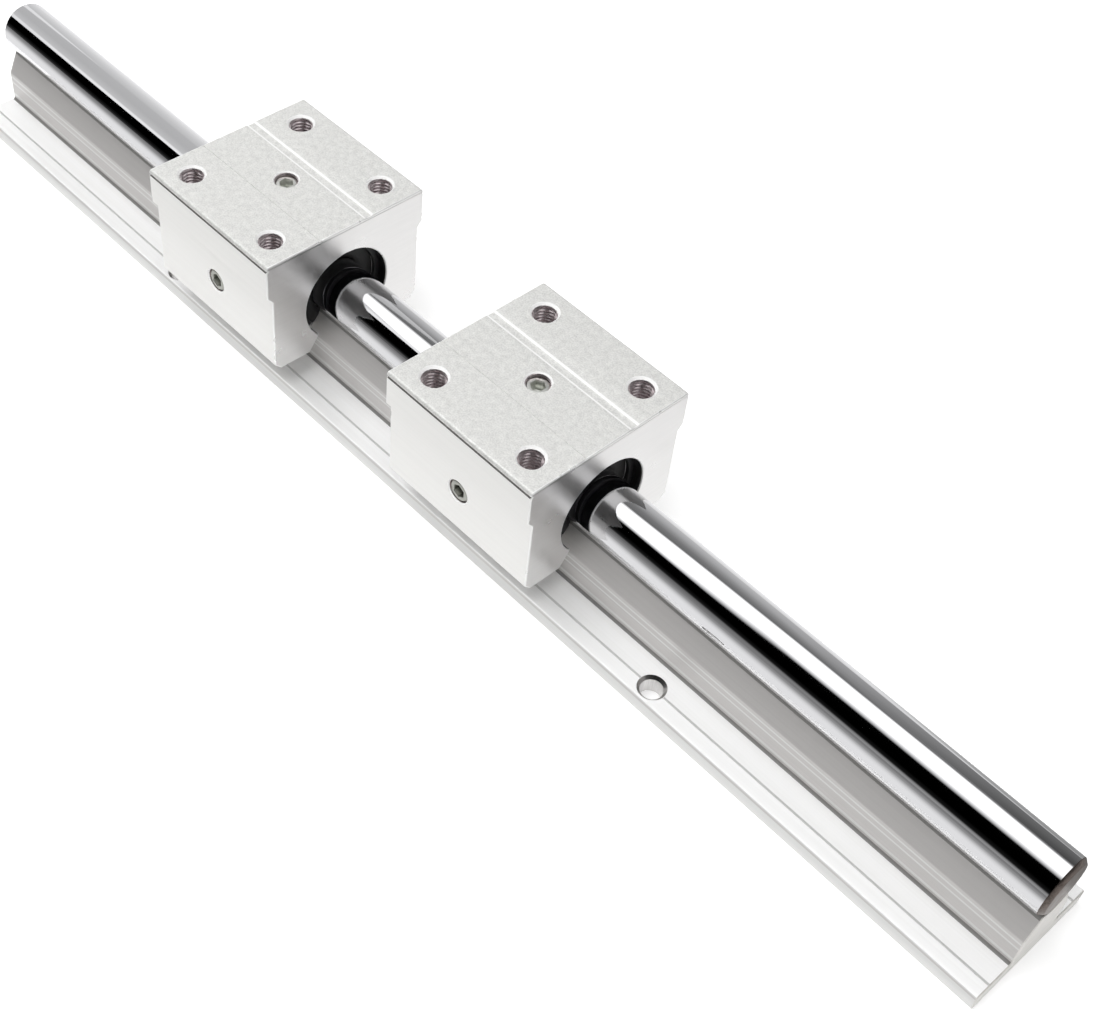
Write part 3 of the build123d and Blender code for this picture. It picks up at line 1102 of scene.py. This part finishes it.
@dataclass(frozen=True)
class BallBushing:
    """The open ball bushing: sleeve, cage, balls, end seals and retaining rings about the shaft's axis."""
    number: int
    middle: float
    sleeve_half: float = 16.0
    sleeve_inner: float = 8.44
    sleeve_outer: float = 10.48
    seat_radius: float = 9.48
    seat_depth: float = 1.42
    sleeve_edge: float = 0.3
    seat_edge: float = 0.1
    sleeve_gap: float = 40.0
    cage_half: float = 14.48
    cage_inner: float = 6.35
    cage_outer: float = 8.34
    slot_half_width: float = 1.3
    slot_half_length: float = 9.4
    ball_radius: float = 1.2
    ball_circle: float = 7.22
    ball_pitch: float = 2.7
    balls_per_row: int = 7
    row_angles: tuple[float, ...] = (108.0, 36.0, -36.0, -108.0)
    seal_inner: float = 6.1
    seal_outer: float = 9.46
    seal_edge: float = 0.15
    seal_spare: float = 0.02
    seal_lip: Stops = ((1.2, 0.0), (0.9, 0.12), (0.35, 0.2), (0.0, 0.5), (0.0, 0.75), (0.5, 1.0))
    ring_inner: float = 9.4
    ring_outer: float = 10.95
    ring_start: float = 16.05
    ring_end: float = 17.05
    ring_edge: float = 0.1
    ring_gap: float = 52.0
    height: float = 22.0

    @property
    def axis(self) -> Axis:
        """The bushing's axis, with angle 0 straight up and growing towards +Y."""
        return Axis((self.middle, 0.0, self.height), Z_AXIS, Y_AXIS, X_AXIS)

    def finish_piece(self, shell: Shell, piece: str, slot: str, node: str, end: str = "") -> None:
        """Make a piece of the bushing, named with the block's number.

        Args:
            shell: its surface.
            piece: what it is.
            slot: the record's material slot.
            node: what its solid is called.
            end: the end of the bushing that it is at, where there are two.
        """
        tail = f"{self.number}_{end}" if end else f"{self.number}"
        shell.piece(f"{piece}_{tail}", f"block_{self.number}", slot, [f"{node}_{tail}"])

    def sector(self, shell: Shell, profile: np.ndarray, gap: float, finish: Finish, around: int = 96) -> None:
        """A closed profile carried round to each side of the opening, with flat ends.

        Args:
            shell: the piece's surface.
            profile: radius and x of its points in order, n x 2.
            gap: half the opening at the bottom, in degrees.
            finish: the finish.
            around: the steps round.
        """
        limit = math.radians(180 - gap)
        closed = np.concatenate([profile, profile[:1]])
        grid = revolve(self.axis, closed, around, -limit, limit)
        shell.grid(grid, finish)
        for end in (grid[:-1, 0], grid[:-1, -1]):
            shell.flat(end, finish)

    def sleeve(self) -> None:
        """The steel outer sleeve with a seat for a seal in each end."""
        half, edge, rim = self.sleeve_half, self.sleeve_edge, self.seat_edge
        seat = half - self.seat_depth
        quarter = [(self.sleeve_inner, 0.0), (self.sleeve_inner, seat), (self.seat_radius, seat),
                   (self.seat_radius, half - rim), (self.seat_radius + rim, half),
                   (self.sleeve_outer - edge, half), (self.sleeve_outer - edge * 0.3, half - edge * 0.3),
                   (self.sleeve_outer, half - edge)]
        profile = np.array(quarter + [(r, -h) for r, h in quarter[:0:-1]])
        shell = Shell()
        self.sector(shell, profile, self.sleeve_gap, BEARING)
        self.finish_piece(shell, "bushing_sleeve", "bearing_steel", "bearing_sleeve")

    def cage(self) -> None:
        """The black cage: an inner and an outer skin with a window over each row of balls."""
        limit = math.radians(180 - self.sleeve_gap)
        half_slot = self.slot_half_width / self.ball_circle
        rows = [math.radians(angle) for angle in self.row_angles]
        edges = [row + side * half_slot for row in rows for side in (-1, 1)]
        angle = stations(np.linspace(-limit, limit, 57), edges, near=SAME_ANGLE)
        along = stations([-self.cage_half, -self.slot_half_length, self.slot_half_length, self.cage_half])
        cells = np.ones((len(along) - 1, len(angle) - 1), dtype=bool)
        middle = 0.5 * (angle[1:] + angle[:-1])
        for row in rows:
            cells[1, np.abs(middle - row) < half_slot] = False
        skins = [self.axis.place(angle[None], np.array(radius), along[:, None])
                 for radius in (self.cage_inner, self.cage_outer)]
        shell = Shell()
        for skin in skins:
            shell.grid(skin, CAGE, cells)
        for row in (0, -1):
            shell.grid(np.stack([skin[row] for skin in skins]), CAGE)
            shell.grid(np.stack([skin[:, row] for skin in skins]), CAGE)
        for row in rows:
            inside = np.abs(angle - row) < half_slot + SAME_ANGLE
            for station in (1, 2):
                shell.grid(np.stack([skin[station][inside] for skin in skins]), CAGE)
            for edge in np.flatnonzero(inside)[[0, -1]]:
                shell.grid(np.stack([skin[1:3, edge] for skin in skins]), CAGE)
        self.finish_piece(shell, "bushing_cage", "cage_plastic", "ball_cage")

    def balls(self) -> None:
        """The load rows: each ball is radius * (cos t, sin t * cos p, sin t * sin p) about its middle."""
        tilt, turn = np.meshgrid(np.linspace(0, math.pi, 13), np.linspace(0, 2 * math.pi, 21), indexing="ij")
        parts = [np.cos(tilt), np.sin(tilt) * np.cos(turn), np.sin(tilt) * np.sin(turn)]
        ball = self.ball_radius * np.stack(parts, axis=-1)
        offsets = (np.arange(self.balls_per_row) - (self.balls_per_row - 1) / 2) * self.ball_pitch
        rows = np.radians(self.row_angles)[:, None]
        shell = Shell()
        for centre in self.axis.place(rows, np.array(self.ball_circle), offsets[None]).reshape(-1, 3):
            shell.grid(ball + centre, BALL)
        self.finish_piece(shell, "bushing_balls", "bearing_steel", "balls")

    def seal(self, end: End) -> None:
        """A rubber seal with a lip that leans towards the shaft.

        Args:
            end: the end that it closes.
        """
        low, high = self.sleeve_half - self.seat_depth + self.seal_spare, self.sleeve_half
        lip, rim, edge = self.seal_inner, self.seal_outer, self.seal_edge
        profile = np.array([(rim, low), (rim, high - edge), (rim - edge, high),
                            *((lip + out, high - deep) for out, deep in self.seal_lip),
                            (lip + self.seal_lip[0][0], low)])
        shell = Shell()
        self.sector(shell, profile * np.array([1, end.value]), self.sleeve_gap, SEAL)
        self.finish_piece(shell, "bushing_seal", "seal_rubber", "end_seal", end.name.lower())

    def ring(self, end: End) -> None:
        """The spring ring that keeps the sleeve in its bore.

        Args:
            end: the end that it sits at.
        """
        low, high, edge = self.ring_start, self.ring_end, self.ring_edge
        inner, outer = self.ring_inner, self.ring_outer
        profile = np.array([(inner, low + edge), (inner + edge, low), (outer - edge, low),
                            (outer, low + edge), (outer, high - edge), (outer - edge, high),
                            (inner + edge, high), (inner, high - edge)])
        shell = Shell()
        self.sector(shell, profile * np.array([1, end.value]), self.ring_gap, RING)
        self.finish_piece(shell, "spring_ring", "ring_steel", "retaining_ring", end.name.lower())

    def build(self) -> None:
        """Build and dress the whole bushing."""
        self.sleeve()
        self.cage()
        self.balls()
        for end in End:
            self.seal(end)
            self.ring(end)


@dataclass(frozen=True)
class Housing:
    """The body of a bearing block: an outline carried along x, bored, drilled and tapped."""
    number: int
    middle: float
    length: float = 39.0
    top: float = 39.0
    half_top: float = 20.0
    half_body: float = 18.8
    top_edge: float = 0.7
    side_line_height: float = 37.95
    side_line_half: float = 0.3
    side_line_depth: float = 0.35
    step_high: float = 31.0
    step_low: float = 29.5
    leg_bottom: float = 11.0
    leg_chamfer: float = 1.5
    leg_inner: float = 9.8
    bore: float = 10.5
    bore_open_angle: float = 45.0
    ring_groove: float = 11.0
    ring_groove_start: float = 16.0
    ring_groove_end: float = 17.1
    height: float = 22.0
    hole_x: float = 13.0
    hole_y: float = 14.0
    hole_block: float = 3.6
    thread_core: float = 2.1
    thread_outer: float = 2.5
    thread_pitch: float = 0.8
    thread_rim: float = 3.0
    thread_depth: float = 10.0
    screw_hole: float = 2.53
    screw_rim: float = 2.8
    top_recess: float = 0.9
    side_recess: float = 0.3
    groove_y: float = 5.75
    groove_width: float = 2.4
    groove_slope: float = 0.5
    groove_depth: float = 0.2
    line_y: float = -6.75
    line_width: float = 0.4
    line_slope: float = 0.08
    line_depth: float = 0.1
    end_edge: float = 0.28
    hole_spare: float = 0.03
    step_round: float = 0.3
    leg_round: float = 0.7
    drill_point: float = 0.6
    rows_per_turn: int = 8
    core_spare: float = 0.12
    thread_stop: float = 0.08

    def top_run(self) -> list[Corner]:
        """The corners along the top face from +Y to -Y, with its wide groove and its fine line."""
        holes = np.concatenate([fan(y, self.hole_block) for y in (-self.hole_y, 0.0, self.hole_y)])
        run = [(y, self.top, 0.0) for y in holes]
        for middle, width, slope, depth in (
                (self.groove_y, self.groove_width, self.groove_slope, self.groove_depth),
                (self.line_y, self.line_width, self.line_slope, self.line_depth)):
            half = width / 2
            run += [(middle - half, self.top, 0.0), (middle - half + slope, self.top - depth, 0.0),
                    (middle + half - slope, self.top - depth, 0.0), (middle + half, self.top, 0.0)]
        return sorted(run, reverse=True)

    def flank(self, side: Flank) -> list[Corner]:
        """The corners of one side, from the leg's inner edge up to the top edge.

        Args:
            side: the side of the block.

        Returns:
            y, z and radius of each corner.
        """
        line, half = self.side_line_height, self.side_line_half
        screw = [(self.half_body, z, 0.0) for z in fan(self.height, self.hole_block)]
        corners = [(self.leg_inner, self.leg_bottom, self.step_round),
                   (self.half_body - self.leg_chamfer, self.leg_bottom, self.leg_round),
                   (self.half_body, self.leg_bottom + self.leg_chamfer, self.leg_round),
                   *(screw if side is Flank.FRONT else []),
                   (self.half_body, self.step_low, self.step_round),
                   (self.half_top, self.step_high, self.step_round),
                   (self.half_top, line - half, 0.0), (self.half_top - self.side_line_depth, line, 0.0),
                   (self.half_top, line + half, 0.0), (self.half_top, self.top, self.top_edge)]
        return [(side.value * y, z, radius) for y, z, radius in corners]

    def bore_run(self) -> list[Corner]:
        """The corners round the bore, from the -Y lip of its opening over the top to the +Y lip."""
        limit = math.radians(180 - self.bore_open_angle)
        return [(self.bore * math.sin(a), self.height + self.bore * math.cos(a), 0.0)
                for a in np.linspace(-limit, limit, 91)]

    def outline(self) -> np.ndarray:
        """The whole outline, counter-clockwise seen from +X."""
        front = self.flank(Flank.FRONT)[::-1]
        return rounded(self.flank(Flank.BACK) + self.top_run() + front + self.bore_run())

    def body(self) -> Extrusion:
        """The block's grid, with the two ring grooves sunk into the bore.

        Returns:
            The grid.
        """
        half = self.length / 2 - self.end_edge
        start, stop = self.ring_groove_start, self.ring_groove_end
        grooves = [start - SAME_FACE, start, stop, stop + SAME_FACE]
        holes = [fan(x, self.hole_block) for x in (-self.hole_x, 0.0, self.hole_x)]
        along = stations([-half, half], grooves, [-x for x in grooves], *holes)
        outline = self.outline()
        body = Extrusion(outline, along, self.middle, self.end_edge)
        reach = np.hypot(outline[:, 0], outline[:, 1] - self.height)
        on_bore = np.abs(reach - self.bore) < SAME_POINT
        away = np.abs(body.along - self.middle)
        in_groove = (away > start - SAME_POINT) & (away < stop + SAME_POINT)
        sunk = body.points[np.ix_(in_groove, on_bore)]
        sunk[..., 1] *= self.ring_groove / self.bore
        sunk[..., 2] = self.height + (sunk[..., 2] - self.height) * self.ring_groove / self.bore
        body.points[np.ix_(in_groove, on_bore)] = sunk
        return body

    def tapped_hole(self, shell: Shell, body: Extrusion, x: float, y: float) -> None:
        """Tap one blind mounting hole into the top face.

        Args:
            shell: the block's surface.
            body: the block's grid.
            x: the hole's x.
            y: the hole's y.
        """
        block = self.hole_block
        gap = body.let_in(x - block, x + block, (y - block, self.top), (y + block, self.top))
        wall = thread_wall(self.thread_core, self.thread_outer, self.thread_pitch, self.thread_rim)
        count = int(self.thread_depth / self.thread_pitch * self.rows_per_turn)
        depths = np.linspace(0, self.thread_depth, count)
        # The countersink takes the painted highlight.
        sink_hole(shell, gap, upright(x, y, self.top), wall, depths, BLASTED, BLOCK_THREAD,
                  self.thread_core * self.drill_point, None, BLOCK_HIGHLIGHT, self.thread_rim - self.thread_outer)

    def screw_hole_wall(self, recess: float) -> Wall:
        """Threaded above the set screw's face, and plain beside the screw.

        Args:
            recess: how deep the screw's face lies.

        Returns:
            A function from angle and depth to radius.
        """
        core = self.thread_core + self.core_spare
        thread = thread_wall(core, self.thread_outer, self.thread_pitch, self.screw_rim)

        def radius(angle: np.ndarray, depth: np.ndarray) -> np.ndarray:
            """The wall's radius at an angle and a depth."""
            return np.where(depth > recess - self.thread_stop, self.screw_hole, thread(angle, depth))
        return radius

    def screw_holes(self, shell: Shell, body: Extrusion) -> None:
        """Sink the two holes of the set screws, one in the top and one in the front side.

        Args:
            shell: the block's surface.
            body: the block's grid.
        """
        block, x, cut = self.hole_block, self.middle, self.screw_rim - self.screw_hole
        half, low, high = self.half_body, self.height - block, self.height + block
        for place, first, last, recess, steps, bottom, face in (
                (upright(x, 0.0, self.top), (-block, self.top), (block, self.top), self.top_recess, 12,
                 self.top - self.height - self.bore, BLASTED),
                (sideways(x, -half, self.height), (-half, low), (-half, high), self.side_recess, 5,
                 half - self.bore, BLOCK_SIDE)):
            gap = body.let_in(x - block, x + block, first, last)
            depths = np.append(np.linspace(0, recess, steps), bottom - self.hole_spare)
            # The countersinks take the painted highlight.
            sink_hole(shell, gap, place, self.screw_hole_wall(recess), depths, face, BLOCK_THREAD, 0.0, None,
                      BLOCK_HIGHLIGHT, cut)

    def build(self) -> None:
        """Build and dress the block's body."""
        body = self.body()
        shell = Shell()
        for x in (-self.hole_x, self.hole_x):
            for y in (-self.hole_y, self.hole_y):
                self.tapped_hole(shell, body, self.middle + x, y)
        self.screw_holes(shell, body)
        # The bore and the notch are in painted shade, and the groove's walls are in painted highlight.
        finishes = [BLASTED, BLOCK_SIDE, BLOCK_SHADED_BORE, BLOCK_HIGHLIGHT, BLOCK_SHADED_NOTCH]
        body.build(shell, finishes, self.choose(body.outline), BLOCK_EDGE, BLOCK_END)
        name = f"block_{self.number}"
        shell.piece(f"block_body_{self.number}", name, "block_aluminium", [f"housing_{self.number}"])

    def choose(self, outline: np.ndarray) -> np.ndarray:
        """Choose the finish of each step of the outline.

        Args:
            outline: the outline's points.

        Returns:
            0 for the top, 1 for the sides, 2 for the bore in painted shade, 3 for the groove's walls in
            painted highlight and 4 for the notch in painted shade.
        """
        between = 0.5 * (outline + np.roll(outline, -1, axis=0))
        reach = np.hypot(between[:, 0], between[:, 1] - self.height)
        notch, half = self.side_line_height, self.side_line_half - SAME_FACE
        # The bore takes the painted shade.
        choice = np.where(between[:, 1] > notch + half, 0, np.where(reach < self.bore + SAME_LINE, 2, 1))
        at_groove = np.abs(between[:, 0] - self.groove_y) < self.groove_width / 2
        half_way = self.top - self.groove_depth / 2
        choice[at_groove & (np.abs(between[:, 1] - half_way) < 0.4 * self.groove_depth)] = 3
        # The notch takes the painted shade.
        choice[np.abs(between[:, 1] - notch) < half] = 4
        return choice


@dataclass(frozen=True)
class BearingBlock:
    """One whole bearing block: body, bushing and its two set screws."""
    number: int
    middle: float

    def build(self) -> None:
        """Build and dress every piece of the block."""
        housing = Housing(self.number, self.middle)
        housing.build()
        BallBushing(self.number, self.middle).build()
        top_face = upright(self.middle, 0.0, housing.top - housing.top_recess)
        side_face = sideways(self.middle, -housing.half_body + housing.side_recess, housing.height)
        for place, screw, face in (("top", TOP_SCREW, top_face), ("side", SIDE_SCREW, side_face)):
            screw.build(f"set_screw_{place}_{self.number}", f"block_{self.number}",
                        f"{place}_screw_{self.number}", face)


def row(y: float, z: float, *places: float) -> list[Vector3]:
    """Points at several places along x, all at one y and z."""
    return [(x, y, z) for x in places]


@dataclass(frozen=True)
class Card:
    """A studio card that shows in glossy surfaces alone: a strip between two rows of points.

    Its light is level * stops(across) * fade(along), with across from 0 at the first row to 1 at the second
    and along from 0 at the first x to 1 at the last.
    """
    name: str
    first: Sequence[Vector3]
    second: Sequence[Vector3]
    stops: Stops
    fade: Stops = ((0.0, 1.0), (1.0, 1.0))
    level: float = 1.0

    def material(self) -> bpy.types.Material:
        """The card's light.

        Returns:
            The material.
        """
        material = bpy.data.materials.new(self.name)
        graph = NodeGraph(material, clear=True)
        place = graph.add("ShaderNodeUVMap", {"uv_map": "card"}).outputs["UV"]
        split = graph.add("ShaderNodeSeparateXYZ", inputs={0: place}).outputs
        across, along = graph.ramp(split["Y"], self.stops), graph.ramp(split["X"], self.fade)
        both = graph.add("ShaderNodeMix", {"data_type": "RGBA", "blend_type": "MULTIPLY"},
                         {0: 1.0, 6: across, 7: along}).outputs[2]
        light = graph.add("ShaderNodeEmission", inputs={"Color": both, "Strength": self.level})
        graph.add("ShaderNodeOutputMaterial", inputs={"Surface": light.outputs[0]})
        return material

    def build(self) -> None:
        """Hang the card."""
        points = np.array([*self.first, *self.second])
        count = len(self.first)
        faces = [(i, i + 1, count + i + 1, count + i) for i in range(count - 1)]
        length = points[count - 1, 0] - points[0, 0]
        along = (points[:, 0] - points[0, 0]) / (length or 1.0)
        place = np.stack([along, np.repeat([0.0, 1.0], count)], axis=1)
        mesh = bpy.data.meshes.new(self.name)
        mesh.from_pydata(points.tolist(), [], faces)
        layer = mesh.uv_layers.new(name="card")
        layer.uv.foreach_set("vector", place[np.array(faces).ravel()].ravel())
        mesh.materials.append(self.material())
        obj = hang(self.name, mesh)
        obj.visible_camera = obj.visible_diffuse = obj.visible_shadow = False
        obj.visible_transmission = obj.visible_volume_scatter = False


@dataclass(frozen=True)
class Lamp:
    """A soft area lamp that is not itself seen in the metal."""
    name: str
    place: Vector3
    target: Vector3
    width: float
    depth: float
    power: float

    def build(self) -> None:
        """Hang the lamp and aim it."""
        data = bpy.data.lights.new(self.name, "AREA")
        data.shape = "RECTANGLE"
        data.size, data.size_y, data.energy = self.width, self.depth, self.power
        away = np.array(self.place) - np.array(self.target)
        away /= np.linalg.norm(away)
        side = np.cross(Y_AXIS, away)
        side /= np.linalg.norm(side)
        turn = np.stack([side, np.cross(away, side), away], axis=1)
        obj = hang(self.name, data)
        obj.matrix_world = Matrix.Translation(self.place) @ Matrix(turn.tolist()).to_4x4()
        obj.visible_glossy = False


@dataclass(frozen=True)
class Studio:
    """White floor, soft lamps, studio cards and the camera at the photograph's viewpoint."""
    floor_half: float = 4.0
    floor_drop: float = 2e-5
    floor_colour: Colour = (0.86, 0.86, 0.86)
    floor_lift: float = 0.38
    floor_reach: tuple[float, float] = (0.7, 2.0)
    world_light: float = 0.38
    focal: float = 1730.0
    frame_width: float = 1095.0
    frame_height: float = 1010.0
    centre: tuple[float, float] = (490.0, 510.0)
    camera_place: Vector3 = (179.08, -169.27, 260.95)
    camera_right: Vector3 = (0.670879, 0.739063, 0.060888)
    camera_down: Vector3 = (0.583256, -0.47517, -0.658806)
    camera_forward: Vector3 = (-0.457967, 0.477493, -0.749844)
    sensor: float = 36.0

    def camera(self) -> None:
        """Set up the camera from its place, its three directions and its focal length in pixels."""
        data = bpy.data.cameras.new("studio_camera")
        data.sensor_width = self.sensor
        data.lens = self.focal * self.sensor / self.frame_width
        data.shift_x = (self.frame_width / 2 - self.centre[0]) / self.frame_width
        data.shift_y = (self.centre[1] - self.frame_height / 2) / self.frame_width
        data.clip_start, data.clip_end = 0.01, 50.0
        up, back = -np.array(self.camera_down), -np.array(self.camera_forward)
        turn = Matrix(np.stack([self.camera_right, up, back], axis=1).tolist())
        obj = hang("studio_camera", data)
        obj.matrix_world = Matrix.Translation(np.array(self.camera_place) * MM) @ turn.to_4x4()
        bpy.context.scene.camera = obj

    def seen_share(self, graph: NodeGraph) -> Socket:
        """1 where a camera, glossy or transmission ray looks, 0 for every other ray.

        Args:
            graph: the nodes to add it to.

        Returns:
            The share.
        """
        path = graph.add("ShaderNodeLightPath").outputs
        total = path["Is Camera Ray"]
        for kind in ("Is Glossy Ray", "Is Transmission Ray"):
            total = graph.join("MAXIMUM", total, path[kind])
        return total

    def floor(self) -> None:
        """A white floor, lifted a little where it is looked at and more far off: only its shadow is grey."""
        mesh = bpy.data.meshes.new("studio_floor")
        half = self.floor_half
        square = ((-half, -half), (half, -half), (half, half), (-half, half))
        mesh.from_pydata([(x, y, -self.floor_drop) for x, y in square], [], [(0, 1, 2, 3)])
        material = bpy.data.materials.new("studio_floor")
        graph = NodeGraph(material, clear=True)
        matt = graph.add("ShaderNodeBsdfDiffuse", inputs={"Color": (*self.floor_colour, 1)})
        where = graph.add("ShaderNodeTexCoord").outputs["Object"]
        reach = graph.add("ShaderNodeVectorMath", {"operation": "LENGTH"}, {0: where}).outputs["Value"]
        rise = graph.spread(reach, self.floor_lift, 1.0, *self.floor_reach)
        strength = graph.join("MULTIPLY", self.seen_share(graph), rise)
        lift = graph.add("ShaderNodeEmission", inputs={"Strength": strength})
        both = graph.add("ShaderNodeAddShader", inputs={0: matt.outputs[0], 1: lift.outputs[0]})
        graph.add("ShaderNodeOutputMaterial", inputs={"Surface": both.outputs[0]})
        mesh.materials.append(material)
        obj = hang("studio_floor", mesh)

    def world(self) -> None:
        """White where it is looked at, softer as a light on the object."""
        world = bpy.data.worlds.new("studio_world")
        graph = NodeGraph(world, clear=True)
        strength = graph.spread(self.seen_share(graph), self.world_light, 1.0, 0.0, 1.0)
        back = graph.add("ShaderNodeBackground", inputs={"Color": (1, 1, 1, 1), "Strength": strength})
        graph.add("ShaderNodeOutputWorld", inputs={"Surface": back.outputs[0]})
        bpy.context.scene.world = world

    def cards(self) -> None:
        """The cards whose reflections draw the bands along the shaft, all sizes in metres."""
        front, back, ceiling, knee, top = -1.0, 1.0, 1.2, 0.25, 1.3
        far, left, corner, right = -3.2, -1.7, -0.9, 1.6
        deep, skirt, rail_edge, ground = 1.6, 0.03, 0.0155, 0.001
        flag_top = ((far, 0.95), (-1.6, 1.15), (-0.6, 1.3), (-0.45, 2.0), (-0.2, 2.5), (right, 3.0))
        box_front = ((corner, -1.0), (-0.6, -1.0), (-0.48, -1.0), (-0.39, -0.86), (-0.31, -0.68),
                     (-0.2, -0.6), (-0.09, -0.57), (-0.02, -0.54), (0.3, -0.5))
        box_back = ((corner, 0.38), (-0.6, 0.38), (-0.48, 0.42), (-0.39, 0.62), (-0.31, 0.73), (-0.2, 0.78),
                    (-0.09, 0.88), (-0.02, 0.89), (0.3, 0.95))
        box_rows = [[(x, y, ceiling) for x, y in rim] for rim in (box_front, box_back)]
        for card in (
                Card("dark_flag", row(front, knee, *(x for x, _ in flag_top)),
                     [(x, front, z) for x, z in flag_top], ((0.0, 0.01), (0.1, 0.0), (1.0, 0.0))),
                Card("flag_foot", row(front, skirt, far, right), row(front, knee, far, right),
                     ((0.0, 0.38), (0.5, 0.3), (0.8, 0.08), (1.0, 0.01)),
                     ((0.0, 0.07), (0.46, 0.08), (0.56, 0.45), (0.604, 0.55), (0.625, 0.72), (0.646, 1.0))),
                Card("softbox", *box_rows, ((0.0, 0.0), (0.25, 1.0), (0.86, 1.0), (1.0, 0.12)), level=1.6),
                Card("ceiling_gap", box_rows[1], row(back, ceiling, *(x for x, _ in box_back)),
                     ((0.0, 0.18), (1.0, 0.25))),
                Card("far_ceiling", row(-1.02, ceiling, left, corner), row(deep, ceiling, left, corner),
                     ((0.0, 1.0), (0.1, 1.0), (0.16, 0.64), (0.39, 0.53), (0.71, 0.55), (1.0, 0.77)),
                     level=1.1),
                Card("far_screen", row(back, 0.0, left, corner), row(back, top, left, corner),
                     ((0.0, 0.95), (0.2, 0.85), (0.5, 0.75), (1.0, 0.66))),
                Card("back_screen", row(back, 0.0, corner, right), row(back, top, corner, right),
                     ((0.0, 1.0), (0.07, 1.0), (0.21, 0.9), (0.36, 0.8), (0.54, 0.62), (0.76, 0.48),
                      (1.0, 0.35)),
                     ((0.0, 0.65), (0.18, 0.63), (0.26, 0.6), (0.29, 0.45), (0.32, 0.32), (0.345, 0.22),
                      (0.37, 0.17))),
                Card("back_apron", row(rail_edge, ground, corner, right), row(back, ground, corner, right),
                     ((0.0, 1.0), (0.035, 0.9), (0.06, 0.85), (1.0, 0.6)),
                     ((0.0, 0.8), (0.3, 0.78), (0.38, 0.74), (0.394, 0.74), (0.404, 0.34), (0.42, 0.24),
                      (0.45, 1.0), (1.0, 0.8)), level=1.5),
                Card("end_flag", ((1.0, front, knee), (1.0, 1.3, knee)), ((1.0, front, 1.4), (1.0, 1.3, 1.4)),
                     ((0.0, 0.0), (1.0, 0.0))),
                Card("front_apron", row(-rail_edge, ground, far, right), row(front, skirt, far, right),
                     ((0.0, 1.0), (0.02, 1.0), (0.035, 0.84), (0.05, 0.62), (0.08, 0.38), (0.2, 0.25),
                      (1.0, 0.22)))):
            card.build()

    def build(self) -> None:
        """Set up the whole studio."""
        self.camera()
        self.floor()
        self.world()
        self.cards()
        Lamp("overhead_softbox", (-0.1, -0.3, 1.2), (0.0, 0.0, 0.0), width=1.2, depth=1.0, power=11.5).build()
        Lamp("front_softbox", (0.1, -1.1, 0.7), (0.0, 0.0, 0.02), width=1.2, depth=0.8, power=2.8).build()


def main() -> None:
    """Build the rail, the blocks and the studio, and report each piece."""
    logging.basicConfig(level=logging.INFO, format="%(message)s")
    bpy.context.scene.view_settings.view_transform = "Standard"
    Studio().build()
    rail = SupportRail()
    rail.build()
    Shaft().build()
    for number, x in enumerate(rail.bolt_x, 1):
        SHAFT_SCREW.build(f"shaft_bolt_{number}", "rail", f"shaft_screw_{number}",
                          upside_down(x, 0.0, rail.bolt_recess))
    for number, middle in enumerate(BLOCK_MIDDLES, 1):
        BearingBlock(number, middle).build()


if __name__ == "__main__":
    main()
